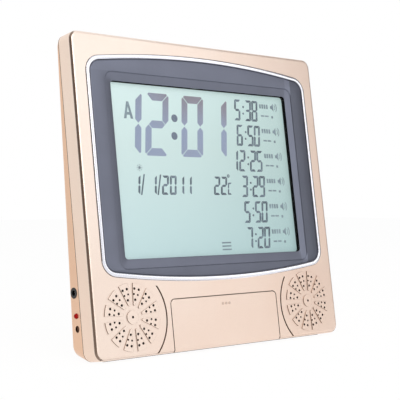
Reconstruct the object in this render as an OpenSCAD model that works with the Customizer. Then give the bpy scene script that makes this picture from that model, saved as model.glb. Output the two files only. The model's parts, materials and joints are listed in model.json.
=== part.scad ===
// Table clock with a large multi-time display, twin speakers and a flip door over its keys.
// It is modelled upright (X right, Y back from the front face, Z up from the foot of the body)
// and then leans back on its stand leg, so that +Z is up and the base strip rests on Z = 0.

/* [Body] */
// Width of the body
body_w = 222; // [216:1:270]
// Height of the body
body_h = 211.5; // [206:0.5:255]
// Depth of the body at its foot
depth_foot = 27.3; // [25:0.1:34]
// Depth of the body at its top
depth_top = 17; // [16:0.1:30]
// Depth of the seam between the front shell and the rear cover
seam_y = 13.6; // [13.6:0.1:15]
// Wall of both shells
wall = 2.2; // [1.8:0.1:2.8]
// Radius of the body's corners, seen from the front
corner_r = 6.5; // [5:0.5:12]
// Rounding of the rear edges
rear_edge_r = 3; // [2:0.5:4]
// Radius of the rounding round the face
edge_r = 2.4; // [1:0.1:2.6]
// Rise of the foot behind the seam, in degrees
foot_rise = 13; // [9:1:16]
// Angle that the clock leans back, in degrees
lean = 8.3; // [5:0.1:9]

/* [Display] */
// Half width of the slate bezel
bezel_a = 98.1; // [92:0.1:99]
// Height of the bezel's foot above the body's foot
bezel_z0 = 48.6; // [47:0.1:52]
// Height of the bezel's top above the body's foot
bezel_z1 = 199.2; // [190:0.1:200]
// Radius of the bowed top and foot of the bezel
bow_r = 678; // [500:10:1200]
// Width of the bright trim ring round the bezel
trim_w = 2.7; // [2:0.1:3.2]
// How far the trim ring stands proud of the face
trim_proud = 0.8; // [0.3:0.1:1.5]
// Half width of the step in the bezel
step_a = 86.2; // [84:0.1:88]
// Half width of the window
window_a = 81; // [76:0.1:82]
// Height of the window's foot
window_z0 = 62.7; // [62:0.1:68]
// Height of the window's top
window_z1 = 180.6; // [170:0.1:181]
// Depth of the window's edge below the face
window_y = 2; // [1.5:0.1:2]
// Depth of the display glass below the face
lcd_y = 5.4; // [5:0.1:5.4]
// Height of the large time digits
time_h = 43.5; // [36:0.5:46]
// Slant of all digits, sideways per unit of height
slant = 0.12; // [0:0.01:0.2]

/* [Speakers] */
// Distance of each speaker from the middle of the body
spk_x = 80.9; // [79:0.1:83]
// Height of the speakers above the body's foot
spk_z = 25.6; // [25.6:0.1:27]
// Radius of each speaker's frame
spk_r = 22; // [18:0.5:22]
// Petals in each grille
petals = 12; // [8:1:12]
// Outer radius of the petals
petal_r1 = 21.9; // [19:0.1:22]
// How far the petals stand proud of the face
petal_proud = 0.6; // [0.2:0.1:0.6]
// Radius of the larger grille holes
grille_hole_r = 0.85; // [0.6:0.05:0.9]

/* [Door and keys] */
// Half width of the flip door
door_a = 48.5; // [40:0.5:50]
// Height of the flip door's top edge
door_z = 34.6; // [33:0.1:36]
// Thickness of the flip door
door_t = 2; // [1.6:0.1:2.2]
// Gap round the flip door
door_gap = 0.6; // [0.4:0.1:0.7]
// Radius of the roll along the door's foot
roll_r = 2.6; // [2.4:0.1:3]
// Radius of the door's hinge rod
rod_r = 0.6; // [0.5:0.05:0.8]
// Width of a key
key_w = 14; // [10:0.5:16]
// Height of a key
key_h = 6; // [5:0.1:6.5]
// Travel of a key
key_travel = 0.6; // [0.4:0.1:0.6]

/* [Stand leg] */
// Height of the leg's pivot above the body's foot
leg_z = 80; // [70:1:90]
// Width of the leg
leg_w = 34; // [24:1:35]
// Thickness of the leg
leg_t = 4.2; // [3.6:0.1:4.2]
// Radius of the leg's pin
leg_pin_r = 1.25; // [1:0.05:1.5]
// Radius of the leg's rubber tip
tip_r = 2.1; // [2:0.1:2.1]

/* [Battery bay] */
// Radius of a cell
cell_r = 5.25; // [5.25:0.05:5.4]
// Length of a cell's can
cell_l = 43.3; // [40:0.1:43.5]
// Distance between the cells
cell_pitch = 11.1; // [11:0.1:11.3]
// Thickness of the battery lid
lid_t = 2; // [1.6:0.1:2.2]

/* [Side wall] */
// Depth of the power inlet below the face
inlet_y = 19.2; // [18.5:0.1:19.5]
// Height of the power inlet
inlet_z = 44.2; // [42:0.1:50]
// Radius of the power inlet's collar
inlet_r = 3.5; // [3:0.1:3.5]
// Bore radius of the power inlet, for a 3.5 mm barrel plug
inlet_bore_r = 1.8; // [1.5:0.05:2.2]
// Height of the red lamp
lamp_z = 29.6; // [28:0.1:31]
// Radius of the red lamp
lamp_r = 1.8; // [1.5:0.1:2]
// Height of the recessed reset button
reset_z = 21.3; // [19:0.1:22]
// Radius of the reset button's hole
reset_hole_r = 2.15; // [1.8:0.05:2.4]

/* [Hidden] */
$fn = 48;

eps = 0.01;
cut = 1;                        // overshoot of a cutting solid past a surface
hull_fn = 32;                   // facets of round things inside a hull

// ---- the wedge of the rear cover -------------------------------------------------
wedge = atan((depth_foot - depth_top) / body_h);
function back_y(z) = depth_foot - z * tan(wedge);
rear_foot_z = (depth_foot - seam_y) * tan(foot_rise);
seam_gap = 0.4;                 // the groove that shows along the seam
rear_edge = min(rear_edge_r, depth_top - seam_y - seam_gap - 0.05);
// A point below the rear surface at height z, as [depth, height]
function below_back(z, inset) = [back_y(z) - inset * cos(wedge), z - inset * sin(wedge)];

// ---- the stand: base strip under the seam, leg behind ------------------------------
strip_y1 = seam_y - 0.3;        // rear edge of the base strip
strip_l = 3;                    // depth of the base strip
strip_low = 0.2;                // how far its rear edge stands below the body
function table_z(y) = -strip_low - (strip_y1 - y) * tan(lean);
origin_y = strip_y1 - strip_l / 2;

leg_inset = leg_t / 2 + 0.5;    // pivot below the rear surface
leg_pivot = below_back(leg_z, leg_inset);
leg_l = leg_pivot[1] - tip_r;   // pivot to tip, so that the folded tip is level with the foot
leg_drop = leg_pivot[1] - table_z(leg_pivot[0]) - tip_r / cos(lean);
leg_open = lean + acos(leg_drop * cos(lean) / leg_l);
leg_travel = leg_open - wedge;

// ---- display -----------------------------------------------------------------------
trim_a = bezel_a + 0.2 + trim_w;
trim_z0 = bezel_z0 - 0.2 - trim_w;
trim_z1 = bezel_z1 + 0.2 + trim_w;
bezel_corner = 8.5;
trim_gap = 0.3;                 // from the trim ring to the front shell round it
flange = 0.8;                   // overlap of the trim ring behind the face
step_z0 = window_z0 - 6.5;
step_z1 = window_z1 + 5.8;
lens_t = 1;
lcd_t = 2.8;
guide_t = 2.8;
lcd_edge = 2;                   // display glass beyond the window
lcd_a = window_a + lcd_edge;
lcd_z0 = window_z0 - lcd_edge;
lcd_z1 = window_z1 + lcd_edge;
holder_wall = 1.4;
guide_y = lcd_y + lcd_t + 0.1;
holder_y = guide_y + guide_t + 0.1;
board_y = holder_y + 1;
board_t = 1.4;
board_a = 72;
board_z0 = window_z0 + 18;
board_z1 = window_z0 + 100;
digit_t = 0.12;                 // thickness of the display's dark marks

// ---- keys ----------------------------------------------------------------------------
key_cols = 4;
key_dx = (2 * door_a - 13) / key_cols;
key_rows_z = [22.6, 12.8];
key_r = 1.4;
key_gap = 0.3;
key_front_y = door_t + 0.9;
tray_y = 4.6;
tray_t = 1.2;
key_flange_t = 0.8;
mat_y = tray_y + tray_t + 0.1 + key_flange_t + key_travel + 0.1;
mat_t = 0.6;
key_board_y = mat_y + mat_t;
key_board_t = 1;
roll_c = roll_r;                // the roll's axis, back from the face and up from the foot
rod_end = door_a + door_gap + 4;
latch_z = 31;
latch_r = 1.9;
latch_travel = 1.5;
latch_y1 = 8.6;

// ---- screws: [x, z] of each boss -----------------------------------------------------
boss_r = 3;
boss_x = body_w / 2 - wall - boss_r - 0.4;
BOSSES = [
    [-boss_x, 58], [boss_x, 58], [-boss_x, body_h - 9.5], [boss_x, body_h - 9.5],
    [-spk_x + 18.4, 7.6], [spk_x - 18.4, 7.6]
];
screw_r = 1.1;
screw_hole_r = 1.4;
screw_head_r = 2.4;
screw_seat = 2.4;               // wall left under each screw head

// ---- battery bay ---------------------------------------------------------------------
bay_x0 = leg_w / 2 + 6;
bay_wall = 1.2;
cell_gap = 0.45;
bay_w = 2 * cell_pitch + 2 * cell_r + 2 * cell_gap;
bay_x1 = bay_x0 + bay_w;
bay_z0 = rear_foot_z + 4.6;
contact_room = 3;
bay_h = cell_l + 1 + 2 * contact_room;
lid_axis_in = lid_t / 2;        // hinge axis of the lid below the rear surface
lid_gap = 0.3;
lid_pin_r = 0.6;
cell_in = lid_t + 0.8 + cell_r; // cell axis below the rear surface

// ---- side wall -----------------------------------------------------------------------
side_x = -body_w / 2;
lamp_y = inlet_y - 0.8;
lamp_proud = 1.6;
// Depth to which parts may reach in front of the rear wall at height z
function inside_y(z) = back_y(z) - wall - 0.1;
side_board_x = side_x + 13.4;
side_board_t = 1.2;
inlet_l = 9;
reset_travel = 0.6;
reset_recess = 0.8;

// ---- frames of reference ---------------------------------------------------------------
// Upright model to the leaning clock, with the middle of the base strip at the origin
module standing() {
    rotate([-lean, 0, 0])
        translate([0, -origin_y, -table_z(origin_y)])
            children();
}

// A frame on the rear surface at height z: its Y points out of the surface, its Z up along it
module on_back(z = 0) {
    translate([0, back_y(z), z])
        rotate([wedge, 0, 0])
            children();
}

// A 2D outline in X and Z, made solid from depth y0 to depth y1
module slab(y0, y1) {
    translate([0, y1, 0])
        rotate([90, 0, 0])
            linear_extrude(y1 - y0)
                children();
}

// A round bar along Y
module bar_y(r, y0, y1, x = 0, z = 0) {
    translate([x, y1, z])
        rotate([90, 0, 0])
            cylinder(r = r, h = y1 - y0);
}

// A round bar along X
module bar_x(r, x0, x1, y = 0, z = 0) {
    translate([x0, y, z])
        rotate([0, 90, 0])
            cylinder(r = r, h = x1 - x0);
}

// A box between two corners
module box(a, b) {
    translate(a)
        cube(b - a);
}

// A rectangle with round corners between two corners, of straight lines and true arcs
module rounded(a, b, r) {
    union() {
        translate([a[0] + r, a[1]])
            square([b[0] - a[0] - 2 * r, b[1] - a[1]]);
        translate([a[0], a[1] + r])
            square([b[0] - a[0], b[1] - a[1] - 2 * r]);
        for (x = [a[0] + r, b[0] - r], z = [a[1] + r, b[1] - r])
            translate([x, z])
                circle(r = r);
    }
}

// The outline of the body, drawn in by a margin
module body_outline(margin, r) {
    rounded([-body_w / 2 + margin, margin], [body_w / 2 - margin, body_h - margin], r);
}

// A frame with straight sides, and a top and a foot bowed outwards, with round corners
function arc_points(cx, cz, r, a0, a1, n) =
    [for (i = [0 : n]) let (a = a0 + (a1 - a0) * i / n) [cx + r * cos(a), cz + r * sin(a)]];
function bow_corner_z(a, z1, r, rc) = z1 - r + sqrt(pow(r - rc, 2) - pow(a - rc, 2));
function bow_angle(a, z1, r, rc) = atan2(bow_corner_z(a, z1, r, rc) - (z1 - r), a - rc);
function half_bow(a, z1, r, rc) = concat(
    arc_points(a - rc, bow_corner_z(a, z1, r, rc), rc, 0, bow_angle(a, z1, r, rc), 8),
    arc_points(0, z1 - r, r, bow_angle(a, z1, r, rc), 180 - bow_angle(a, z1, r, rc), 16),
    arc_points(rc - a, bow_corner_z(a, z1, r, rc), rc, 180 - bow_angle(a, z1, r, rc), 180, 8)
);
module bowed(a, z0, z1, r, rc) {
    mid = (z0 + z1) / 2;
    top = half_bow(a, z1 - mid, r, rc);
    points = concat(top, [for (p = top) [-p[0], -p[1]]]);
    translate([0, mid])
        polygon(points);
}
module trim_outline(margin = 0) {
    bowed(trim_a - margin, trim_z0 + margin, trim_z1 - margin, bow_r + trim_w - margin,
        bezel_corner + trim_w - margin);
}
module bezel_outline(margin = 0) {
    bowed(bezel_a - margin, bezel_z0 + margin, bezel_z1 - margin, bow_r - margin,
        bezel_corner - margin);
}
module window_outline(margin = 0) {
    rounded([-window_a - margin, window_z0 - margin], [window_a + margin, window_z1 + margin],
        2.5 + max(margin, 0));
}

// ---- grille pattern --------------------------------------------------------------------
petal_r0 = 8;
petal_tip = 0.8;                // half width of a petal at its inner end
petal_flare = 0.213;            // gain of that half width per unit of radius
petal_step = 360 / petals;
outer_hole_at = petal_r1 - 3.6;
module each_speaker() {
    for (side = [-1, 1])
        translate([side * spk_x, spk_z])
            children();
}
module petal_2d() {
    reach = petal_r1 + 1;
    half = petal_tip + petal_flare * (reach - petal_r0);
    intersection() {
        circle(r = petal_r1, $fn = 96);
        polygon([[petal_r0 - 0.6, 0], [petal_r0, -petal_tip], [reach, -half], [reach, half],
            [petal_r0, petal_tip]]);
    }
}
module grille_pads_2d() {
    each_speaker() {
        circle(r = 4.5);
        for (k = [0 : petals - 1])
            rotate(petal_step * (k + 0.5))
                petal_2d();
    }
}
module grille_holes_2d() {
    each_speaker() {
        circle(r = grille_hole_r);
        for (k = [0 : petals - 1])
            rotate(petal_step * (k + 0.5)) {
                translate([outer_hole_at - 7, 0])
                    circle(r = grille_hole_r);
                for (side = [-1, 1]) {
                    rotate(side * petal_step * 0.182)
                        translate([outer_hole_at, 0])
                            circle(r = grille_hole_r);
                    rotate(side * petal_step * 0.197)
                        translate([outer_hole_at - 3.5, 0])
                            circle(r = grille_hole_r * 0.8);
                }
            }
    }
}
// The curved line beside each speaker, from the foot of the face to beside the door
arc_line_r = 33.8;
arc_line_w = 1;
arc_line_d = 0.8;
arc_line_in = 12;               // inside the speakers' centres, where the lines are kept
module arc_lines_2d() {
    intersection() {
        for (side = [-1, 1])
            translate([side * (spk_x + 5.9), spk_z - 1])
                difference() {
                    circle(r = arc_line_r + arc_line_w / 2, $fn = 96);
                    circle(r = arc_line_r - arc_line_w / 2, $fn = 96);
                }
        translate([arc_line_in - spk_x, -cut])
            square([2 * (spk_x - arc_line_in), trim_z0 - 1.2 + cut]);
    }
}

// ---- casing ------------------------------------------------------------------------------
edge_steps = 6;
module front_block() {
    hull() {
        for (a = [0 : 90 / edge_steps : 89])
            slab(edge_r * (1 - cos(a)), edge_r * (1 - cos(a)) + eps)
                body_outline(edge_r * (1 - sin(a)), corner_r - edge_r * (1 - sin(a)), $fn = hull_fn);
        slab(edge_r, seam_y)
            body_outline(0, corner_r, $fn = hull_fn);
    }
}
module door_opening_2d(margin) {
    a = door_a + margin;
    rounded([-a, -20], [a, door_z + margin], 3 + margin);
}
module front_shell() {
    color("#ecd8c6")
    difference() {
        union() {
            difference() {
                front_block();
                slab(wall, seam_y + cut)
                    body_outline(wall, corner_r - wall);
            }
            slab(-petal_proud, wall / 2)
                grille_pads_2d();
            for (p = BOSSES)
                bar_y(boss_r, wall - eps, seam_y - 0.2, p[0], p[1]);
            // lugs that carry the door's hinge rod
            for (side = [-1, 1])
                translate([side * (door_a + door_gap + 3), 0, 0])
                    box([-3, wall - eps, wall - eps], [3, 2 * roll_c + 1, 2 * roll_c + 1]);
        }
        slab(-cut, wall + cut)
            trim_outline(-trim_gap);
        slab(-cut, wall + cut)
            door_opening_2d(door_gap);
        // the foot of the shell is cut back round the door's roll
        box([-door_a - door_gap, -cut, -cut], [door_a + door_gap, 2 * roll_c + 0.4, wall + cut]);
        bar_x(rod_r, -rod_end, rod_end, roll_c, roll_c);
        slab(-cut, wall + cut)
            grille_holes_2d();
        slab(-cut, arc_line_d)
            arc_lines_2d();
        for (p = BOSSES)
            bar_y(screw_r, seam_y - 9, seam_y + cut, p[0], p[1]);
    }
}

// One rounded puck at each rear corner, the seam's outline in front of them
module rear_block(m, y0, r, edge) {
    hull() {
        slab(y0, y0 + 0.3)
            body_outline(m, corner_r - m, $fn = hull_fn);
        for (side = [-1, 1], z = [rear_foot_z + m + r, body_h - m - r])
            translate([side * (body_w / 2 - m - r), back_y(z) - m, z])
                rotate([wedge + 90, 0, 0])
                    rotate_extrude($fn = hull_fn)
                        intersection() {
                            translate([r - edge, edge])
                                circle(r = edge);
                            square([r, edge]);
                        }
    }
}
module bay_box(grow, lift) {
    on_back(bay_z0)
        translate([bay_x0, 0, 0])
            box([-grow, -cell_in - cell_r - 0.4 - grow, -grow], [bay_w + grow, lift, bay_h + grow]);
}
module leg_pocket(grow, top) {
    on_back(leg_z)
        box([-leg_w / 2 - 0.5 - grow, -leg_inset - leg_t / 2 - 0.7 - grow, -leg_z - 6],
            [leg_w / 2 + 0.5 + grow, top, leg_t / 2 + 0.8 + grow]);
}
// Wall hanger: a keyhole for the head and the shank of a screw
hanger_z = body_h - 27;
hanger_head_r = 4.2;
hanger_slot_r = 2.1;
hanger_rise = 9;
hanger_in = 4.8;
vent_n = 6;
module rear_cover() {
    color("#e0c4a8")
    difference() {
        union() {
            difference() {
                union() {
                    rear_block(0, seam_y + seam_gap, 8, rear_edge);
                    // the rim in the seam's groove, a little smaller than the body
                    slab(seam_y, seam_y + seam_gap + eps)
                        body_outline(0.5, corner_r - 0.5);
                }
                rear_block(wall, seam_y - eps, 6, min(1, rear_edge));
                slab(seam_y - cut, seam_y + seam_gap)
                    body_outline(wall, corner_r - wall);
            }
            for (p = BOSSES)
                bar_y(boss_r + 1, seam_y, back_y(p[1]) - wall / 2, p[0], p[1]);
            intersection() {
                union() {
                    bay_box(bay_wall, -wall / 2);
                    leg_pocket(1.5, -wall / 2);
                }
                box([-60, seam_y - 4.6, wall / 2], [60, depth_foot, body_h]);
                rotate([foot_rise, 0, 0])
                    translate([0, 0, -seam_y * tan(foot_rise) + 1])
                        box([-60, 0, 0], [60, 60, 120]);
            }
            // the backing of the wall hanger
            on_back(hanger_z)
                box([-8, -hanger_in - 1.2, -8], [8, -wall / 2, hanger_rise + 6]);
        }
        bay_box(0, cut);
        leg_pocket(0, cut);
        on_back(leg_z)
            bar_x(leg_pin_r, -leg_w / 2 - 1.8, leg_w / 2 + 1.8, -leg_inset, 0);
        // hinge holes of the battery lid
        on_back(bay_z0)
            bar_x(lid_pin_r + 0.05, bay_x0 - 1.2, bay_x1 + 1.2, -lid_axis_in, lid_axis_in + lid_gap);
        // screw holes and the wells for the screw heads
        for (p = BOSSES) {
            bar_y(screw_hole_r, seam_y - cut, depth_foot + cut, p[0], p[1]);
            bar_y(screw_head_r + 0.3, seam_y + screw_seat, depth_foot + cut, p[0], p[1]);
        }
        // wall hanger: a round way in for the head, and a slot above it for the shank
        on_back(hanger_z) {
            bar_y(hanger_head_r, -hanger_in, cut);
            box([-hanger_slot_r, -hanger_in, 0], [hanger_slot_r, cut, hanger_rise]);
            bar_y(hanger_slot_r, -hanger_in, cut, 0, hanger_rise);
            box([-hanger_head_r, -hanger_in, 0], [hanger_head_r, -wall, hanger_rise]);
            bar_y(hanger_head_r, -hanger_in, -wall, 0, hanger_rise);
        }
        // sound slots behind each speaker
        for (side = [-1, 1], k = [0 : vent_n - 1])
            translate([side * spk_x, 0, spk_z - 15 + k * 6])
                box([-12, seam_y + 4, 0], [12, depth_foot + cut, 1.8]);
        // the left side wall
        bar_x(inlet_r, side_x - cut, side_x + wall + cut, inlet_y, inlet_z);
        bar_x(lamp_r, side_x - cut, side_x + wall + cut, lamp_y, lamp_z);
        bar_x(reset_hole_r, side_x - cut, side_x + wall + cut, lamp_y, reset_z);
    }
}
module base_strip() {
    color("#3a3532")
    translate([-body_w / 2 + 12, 0, 0])
        rotate([90, 0, 90])
            linear_extrude(body_w - 24)
                polygon([[strip_y1 - strip_l, 0], [strip_y1, 0], [strip_y1, table_z(strip_y1)],
                    [strip_y1 - strip_l, table_z(strip_y1 - strip_l)]]);
}
module case_screws() {
    color("silver")
    for (p = BOSSES)
        difference() {
            union() {
                bar_y(screw_r, seam_y - 7, seam_y + screw_seat, p[0], p[1]);
                bar_y(screw_head_r, seam_y + screw_seat, seam_y + screw_seat + 1.8, p[0], p[1]);
            }
            for (a = [0, 90])
                translate([p[0], 0, p[1]])
                    rotate([0, a, 0])
                        box([-1.4, seam_y + screw_seat + 0.9, -0.3],
                            [1.4, seam_y + screw_seat + 2, 0.3]);
        }
}

// ---- display stack -----------------------------------------------------------------------
module trim_ring() {
    color("white")
    difference() {
        union() {
            slab(-trim_proud, -trim_proud + 0.5)
                trim_outline(0.5);
            slab(-trim_proud + 0.4, wall)
                trim_outline();
            slab(wall, wall + 1)
                trim_outline(-flange);
        }
        slab(-trim_proud - cut, wall + 2)
            bezel_outline(-0.2);
    }
}
module bezel() {
    color("slategray")
    difference() {
        union() {
            slab(0, wall)
                bezel_outline();
            slab(wall, wall + 2.2)
                bezel_outline(1);
        }
        hull() {
            slab(-cut, 0.35)
                rounded([-step_a, step_z0], [step_a, step_z1], 6, $fn = hull_fn);
            slab(window_y - 0.05, window_y)
                window_outline(0, $fn = hull_fn);
        }
        slab(window_y - eps, wall + eps)
            window_outline();
        // seat of the lens
        slab(wall, wall + 3)
            window_outline(3.4);
    }
}
module window_lens() {
    color("white", 0.2)
    slab(wall, wall + lens_t)
        window_outline(3.2);
}
module lcd_gasket() {
    color("#101010")
    difference() {
        slab(wall + lens_t, lcd_y)
            window_outline(2.8);
        slab(wall, lcd_y + cut)
            window_outline();
    }
}
module lcd_panel() {
    color("#c8dedd")
    box([-lcd_a, lcd_y, lcd_z0], [lcd_a, lcd_y + lcd_t, lcd_z1]);
}

// One stroke of a digit, as [x, z] points. Strokes meet in mitres at the digit's corners, which are
// cut off by c, and come to a point at its middle. g is half the gap between strokes.
corner_cut = 0.4;               // corner cut per stroke thickness
function lean_over(p) = [p[0] + p[1] * slant, p[1]];
function bar_end(w, h, t, g, c) = [
    [-t / 2 + c, h + t / 2], [w + t / 2 - c, h + t / 2], [w + t / 2 - c / 2 - g, h + t / 2 - c / 2],
    [w - t / 2 - g, h - t / 2], [t / 2 + g, h - t / 2], [-t / 2 + c / 2 + g, h + t / 2 - c / 2]];
function bar_middle(w, z, t, g) = [
    [g, z], [t / 2 + g, z + t / 2], [w - t / 2 - g, z + t / 2],
    [w - g, z], [w - t / 2 - g, z - t / 2], [t / 2 + g, z - t / 2]];
function post(w, h, t, g, c) = [
    [w, h / 2 + g], [w + t / 2, h / 2 + t / 2 + g], [w + t / 2, h + t / 2 - c],
    [w + t / 2 - c / 2, h + t / 2 - c / 2 - g], [w - t / 2, h - t / 2 - g],
    [w - t / 2, h / 2 + t / 2 + g]];
// Mirror images: low puts a stroke in the lower half, left puts it at the left side
function low(points, h) = [for (p = points) [p[0], h - p[1]]];
function left(points, w) = [for (p = points) [w - p[0], p[1]]];
// The seven strokes a to g of a digit w wide and h high between stroke middles
function stroke(s, w, h, t, g, c) =
    s == "a" ? bar_end(w, h, t, g, c) :
    s == "b" ? post(w, h, t, g, c) :
    s == "c" ? low(post(w, h, t, g, c), h) :
    s == "d" ? low(bar_end(w, h, t, g, c), h) :
    s == "e" ? low(left(post(w, h, t, g, c), w), h) :
    s == "f" ? left(post(w, h, t, g, c), w) :
    bar_middle(w, h / 2, t, g);
STROKES = ["abcdef", "bc", "abged", "abgcd", "fgbc", "afgcd", "afgedc", "abc", "abcdefg",
    "abcdfg"];
module digit(n, w, h, t, g = 0.07) {
    for (s = STROKES[n])
        polygon([for (p = stroke(s, w, h, t, t * g, t * corner_cut)) lean_over(p)]);
}
// A row of digits; an entry below 0 leaves its place empty
module digit_row(digits, pitch, w, h, t) {
    for (i = [0 : len(digits) - 1])
        if (digits[i] >= 0)
            translate([i * pitch, 0])
                digit(digits[i], w, h, t, 0.11);
}
module mark_slab() {
    slab(lcd_y - digit_t, lcd_y)
        children();
}
// Places on the display are measured from the middle and from the window's foot
time_t = 5.2;
time_w = 14.5;
module lcd_time_digits() {
    color("#8c9bb8")
    mark_slab()
        translate([0, window_z0 + 71.9]) {
            translate([-75.1, 0])
                digit(1, time_w, time_h - time_t, time_t);
            for (d = [[-51.9, 2], [-20.4, 0], [2.1, 1]])
                translate([d[0], 0])
                    digit(d[1], time_w, time_h - time_t, time_t);
            for (z = [11.8, 24.3])
                translate([-29.4 + z * slant, z])
                    circle(r = 2.7);
        }
}
ROW_TIMES = [[-1, 5, 3, 8], [-1, 6, 5, 0], [1, 2, 2, 5], [-1, 3, 2, 9], [-1, 5, 5, 0],
    [-1, 7, 2, 0]];
row_pitch = 18.85;
row_top = window_z1 - 5.2;
row_w = 4.4;
row_h = 14;
row_t = 1.7;
date_t = 1.6;
module lcd_small_digits() {
    color("#5f6b74")
    mark_slab() {
        for (i = [0 : len(ROW_TIMES) - 1])
            translate([0, row_top - i * row_pitch - row_h]) {
                translate([23.6, 0])
                    digit_row([for (k = [0, 1]) ROW_TIMES[i][k]], 7.3, row_w, row_h, row_t);
                translate([41.6, 0])
                    digit_row([for (k = [2, 3]) ROW_TIMES[i][k]], 6.6, row_w, row_h, row_t);
                for (z = [4.6, 9.6])
                    translate([39 + z * slant, z])
                        circle(r = 0.8, $fn = 24);
            }
        translate([0, window_z0 + 43.5]) {
            translate([-66.8, 0])
                digit_row([1], 7, 4.2, 11.6, date_t);
            translate([-53, 0])
                digit_row([1], 7, 4.2, 11.6, date_t);
            translate([-42.6, 0])
                digit_row([2, 0, 1, 1], 6.8, 4.2, 11.6, date_t);
            for (x = [-60.8, -46.9])
                translate([x, 0])
                    polygon([[-0.5, -1], [0.6, -1], [4.2, 13], [3.1, 13]]);
            translate([4.2, 0])
                digit_row([2, 2], 6.6, 4.2, 11.6, date_t);
            // the unit C
            translate([17.2, 0])
                for (s = "adef")
                    polygon([for (p = stroke(s, 2.6, 7.6, 1.1, 0.1, 0.4)) lean_over(p)]);
            translate([18.6, 13])
                difference() {
                    circle(r = 1.2, $fn = 24);
                    circle(r = 0.5, $fn = 24);
                }
        }
    }
}
// Plain marks: a morning sign, a small sun, blocks beside each time and small loudspeakers
module lcd_symbols() {
    color("#7d8c90")
    mark_slab() {
        translate([-69.8, window_z0 + 93.9])
            difference() {
                polygon([[0, 0], [2.9, 11.6], [4.7, 11.6], [7.6, 0], [5.6, 0], [5, 2.6],
                    [2.6, 2.6], [2, 0]]);
                polygon([[3, 4.4], [4.6, 4.4], [3.8, 8.6]]);
            }
        // a small sun
        translate([-60.6, window_z0 + 60.9]) {
            circle(r = 1, $fn = 24);
            for (turn = [0 : 45 : 315])
                rotate(turn)
                    translate([1.5, -0.2])
                        square([0.9, 0.4]);
        }
        for (i = [0 : len(ROW_TIMES) - 1])
            translate([0, row_top - i * row_pitch - row_h]) {
                for (k = [0 : 3])
                    translate([56.8 + 2.4 * k, 9.6])
                        square([1.6, 3.2]);
                for (k = [0 : 1])
                    translate([57.6 + 4.4 * k, 3.4])
                        square([3.6, 1.1]);
                translate([68.4, 2.6])
                    square([1.8, 1.8]);
                translate([68.2, 11]) {
                    polygon([[0, -1.1], [1.2, -1.1], [3.2, -3], [3.2, 3], [1.2, 1.1], [0, 1.1]]);
                    // two waves of sound
                    for (r = [2.4, 4])
                        intersection() {
                            difference() {
                                translate([2.4, 0])
                                    circle(r = r + 0.6, $fn = 32);
                                translate([2.4, 0])
                                    circle(r = r, $fn = 32);
                            }
                            translate([4, -r * 0.75])
                                square([4, r * 1.5]);
                        }
                }
            }
        for (z = [3.4, 5.8, 8.2])
            translate([6.5, window_z0 + z])
                square([8.5, 1]);
    }
}
module light_guide() {
    color("#f4f7f6")
    box([-lcd_a + 3, guide_y, lcd_z0 + 0.5], [lcd_a - 3, guide_y + guide_t, lcd_z1 - 0.5]);
}
module backlight_leds() {
    color("#fff4c0")
    for (side = [-1, 1], z = [board_z0 + 15, board_z1 - 15])
        translate([side * (lcd_a - 1.7), 0, z])
            box([-1.2, guide_y + 0.2, -2.5], [1.2, guide_y + guide_t - 0.2, 2.5]);
}
module lcd_holder() {
    color("#26282b")
    difference() {
        box([-lcd_a - holder_wall - 0.2, lcd_y + 0.2, lcd_z0 - holder_wall - 0.2],
            [lcd_a + holder_wall + 0.2, holder_y + 1, lcd_z1 + holder_wall + 0.2]);
        box([-lcd_a - 0.2, lcd_y - cut, lcd_z0 - 0.2], [lcd_a + 0.2, holder_y, lcd_z1 + 0.2]);
        // slot for the display's ribbon
        box([-30, lcd_y - cut, lcd_z1 - 0.05], [30, holder_y + 2, lcd_z1 + holder_wall + cut]);
        for (x = [-board_a + 4, board_a - 4], z = [board_z0 + 4, board_z1 - 4])
            bar_y(0.8, holder_y - cut, holder_y + 2, x, z);
    }
}
module lcd_ribbon() {
    color("#c9872e")
    union() {
        box([-28, lcd_y + 1, lcd_z1], [28, board_y + 0.2, lcd_z1 + 0.3]);
        box([-28, board_y, board_z1 - 8], [28, board_y + 0.2, lcd_z1 + 0.3]);
    }
}
module main_board() {
    color("#1f6b3a")
    difference() {
        box([-board_a, board_y, board_z0], [board_a, board_y + board_t, board_z1]);
        box([-28.2, board_y - cut, board_z1 - 8.2], [28.2, board_y + 0.25, board_z1 + cut]);
        for (x = [-board_a + 4, board_a - 4], z = [board_z0 + 4, board_z1 - 4])
            bar_y(1.1, board_y - cut, board_y + board_t + cut, x, z);
    }
}
module board_parts() {
    color("#222222")
    translate([0, board_y + board_t, 0]) {
        box([-16, 0, board_z0 + 30], [2, 1.6, board_z0 + 44]);
        box([20, 0, board_z0 + 34], [30, 1.5, board_z0 + 40]);
        box([-44, 0, board_z0 + 36], [-36, 1.5, board_z0 + 42]);
        for (x = [44, 54])
            bar_y(3, 0, 3, x, board_z0 + 58);
        for (x = [-60, -52])
            box([x, 0, board_z0 + 20], [x + 5, 2.6, board_z0 + 24]);
        // clock crystal
        bar_x(1, 8, 15, 1, board_z0 + 50);
    }
}
module board_screws() {
    color("silver")
    for (x = [-board_a + 4, board_a - 4], z = [board_z0 + 4, board_z1 - 4]) {
        bar_y(0.8, holder_y, board_y + board_t, x, z);
        bar_y(1.8, board_y + board_t, board_y + board_t + 1.2, x, z);
    }
}
module temperature_sensor() {
    color("#b5651d")
    translate([spk_x + 16, seam_y + 2, spk_z + 34]) {
        sphere(r = 1.4);
        bar_y(0.4, -1 - wall, 0);
    }
}

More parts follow.
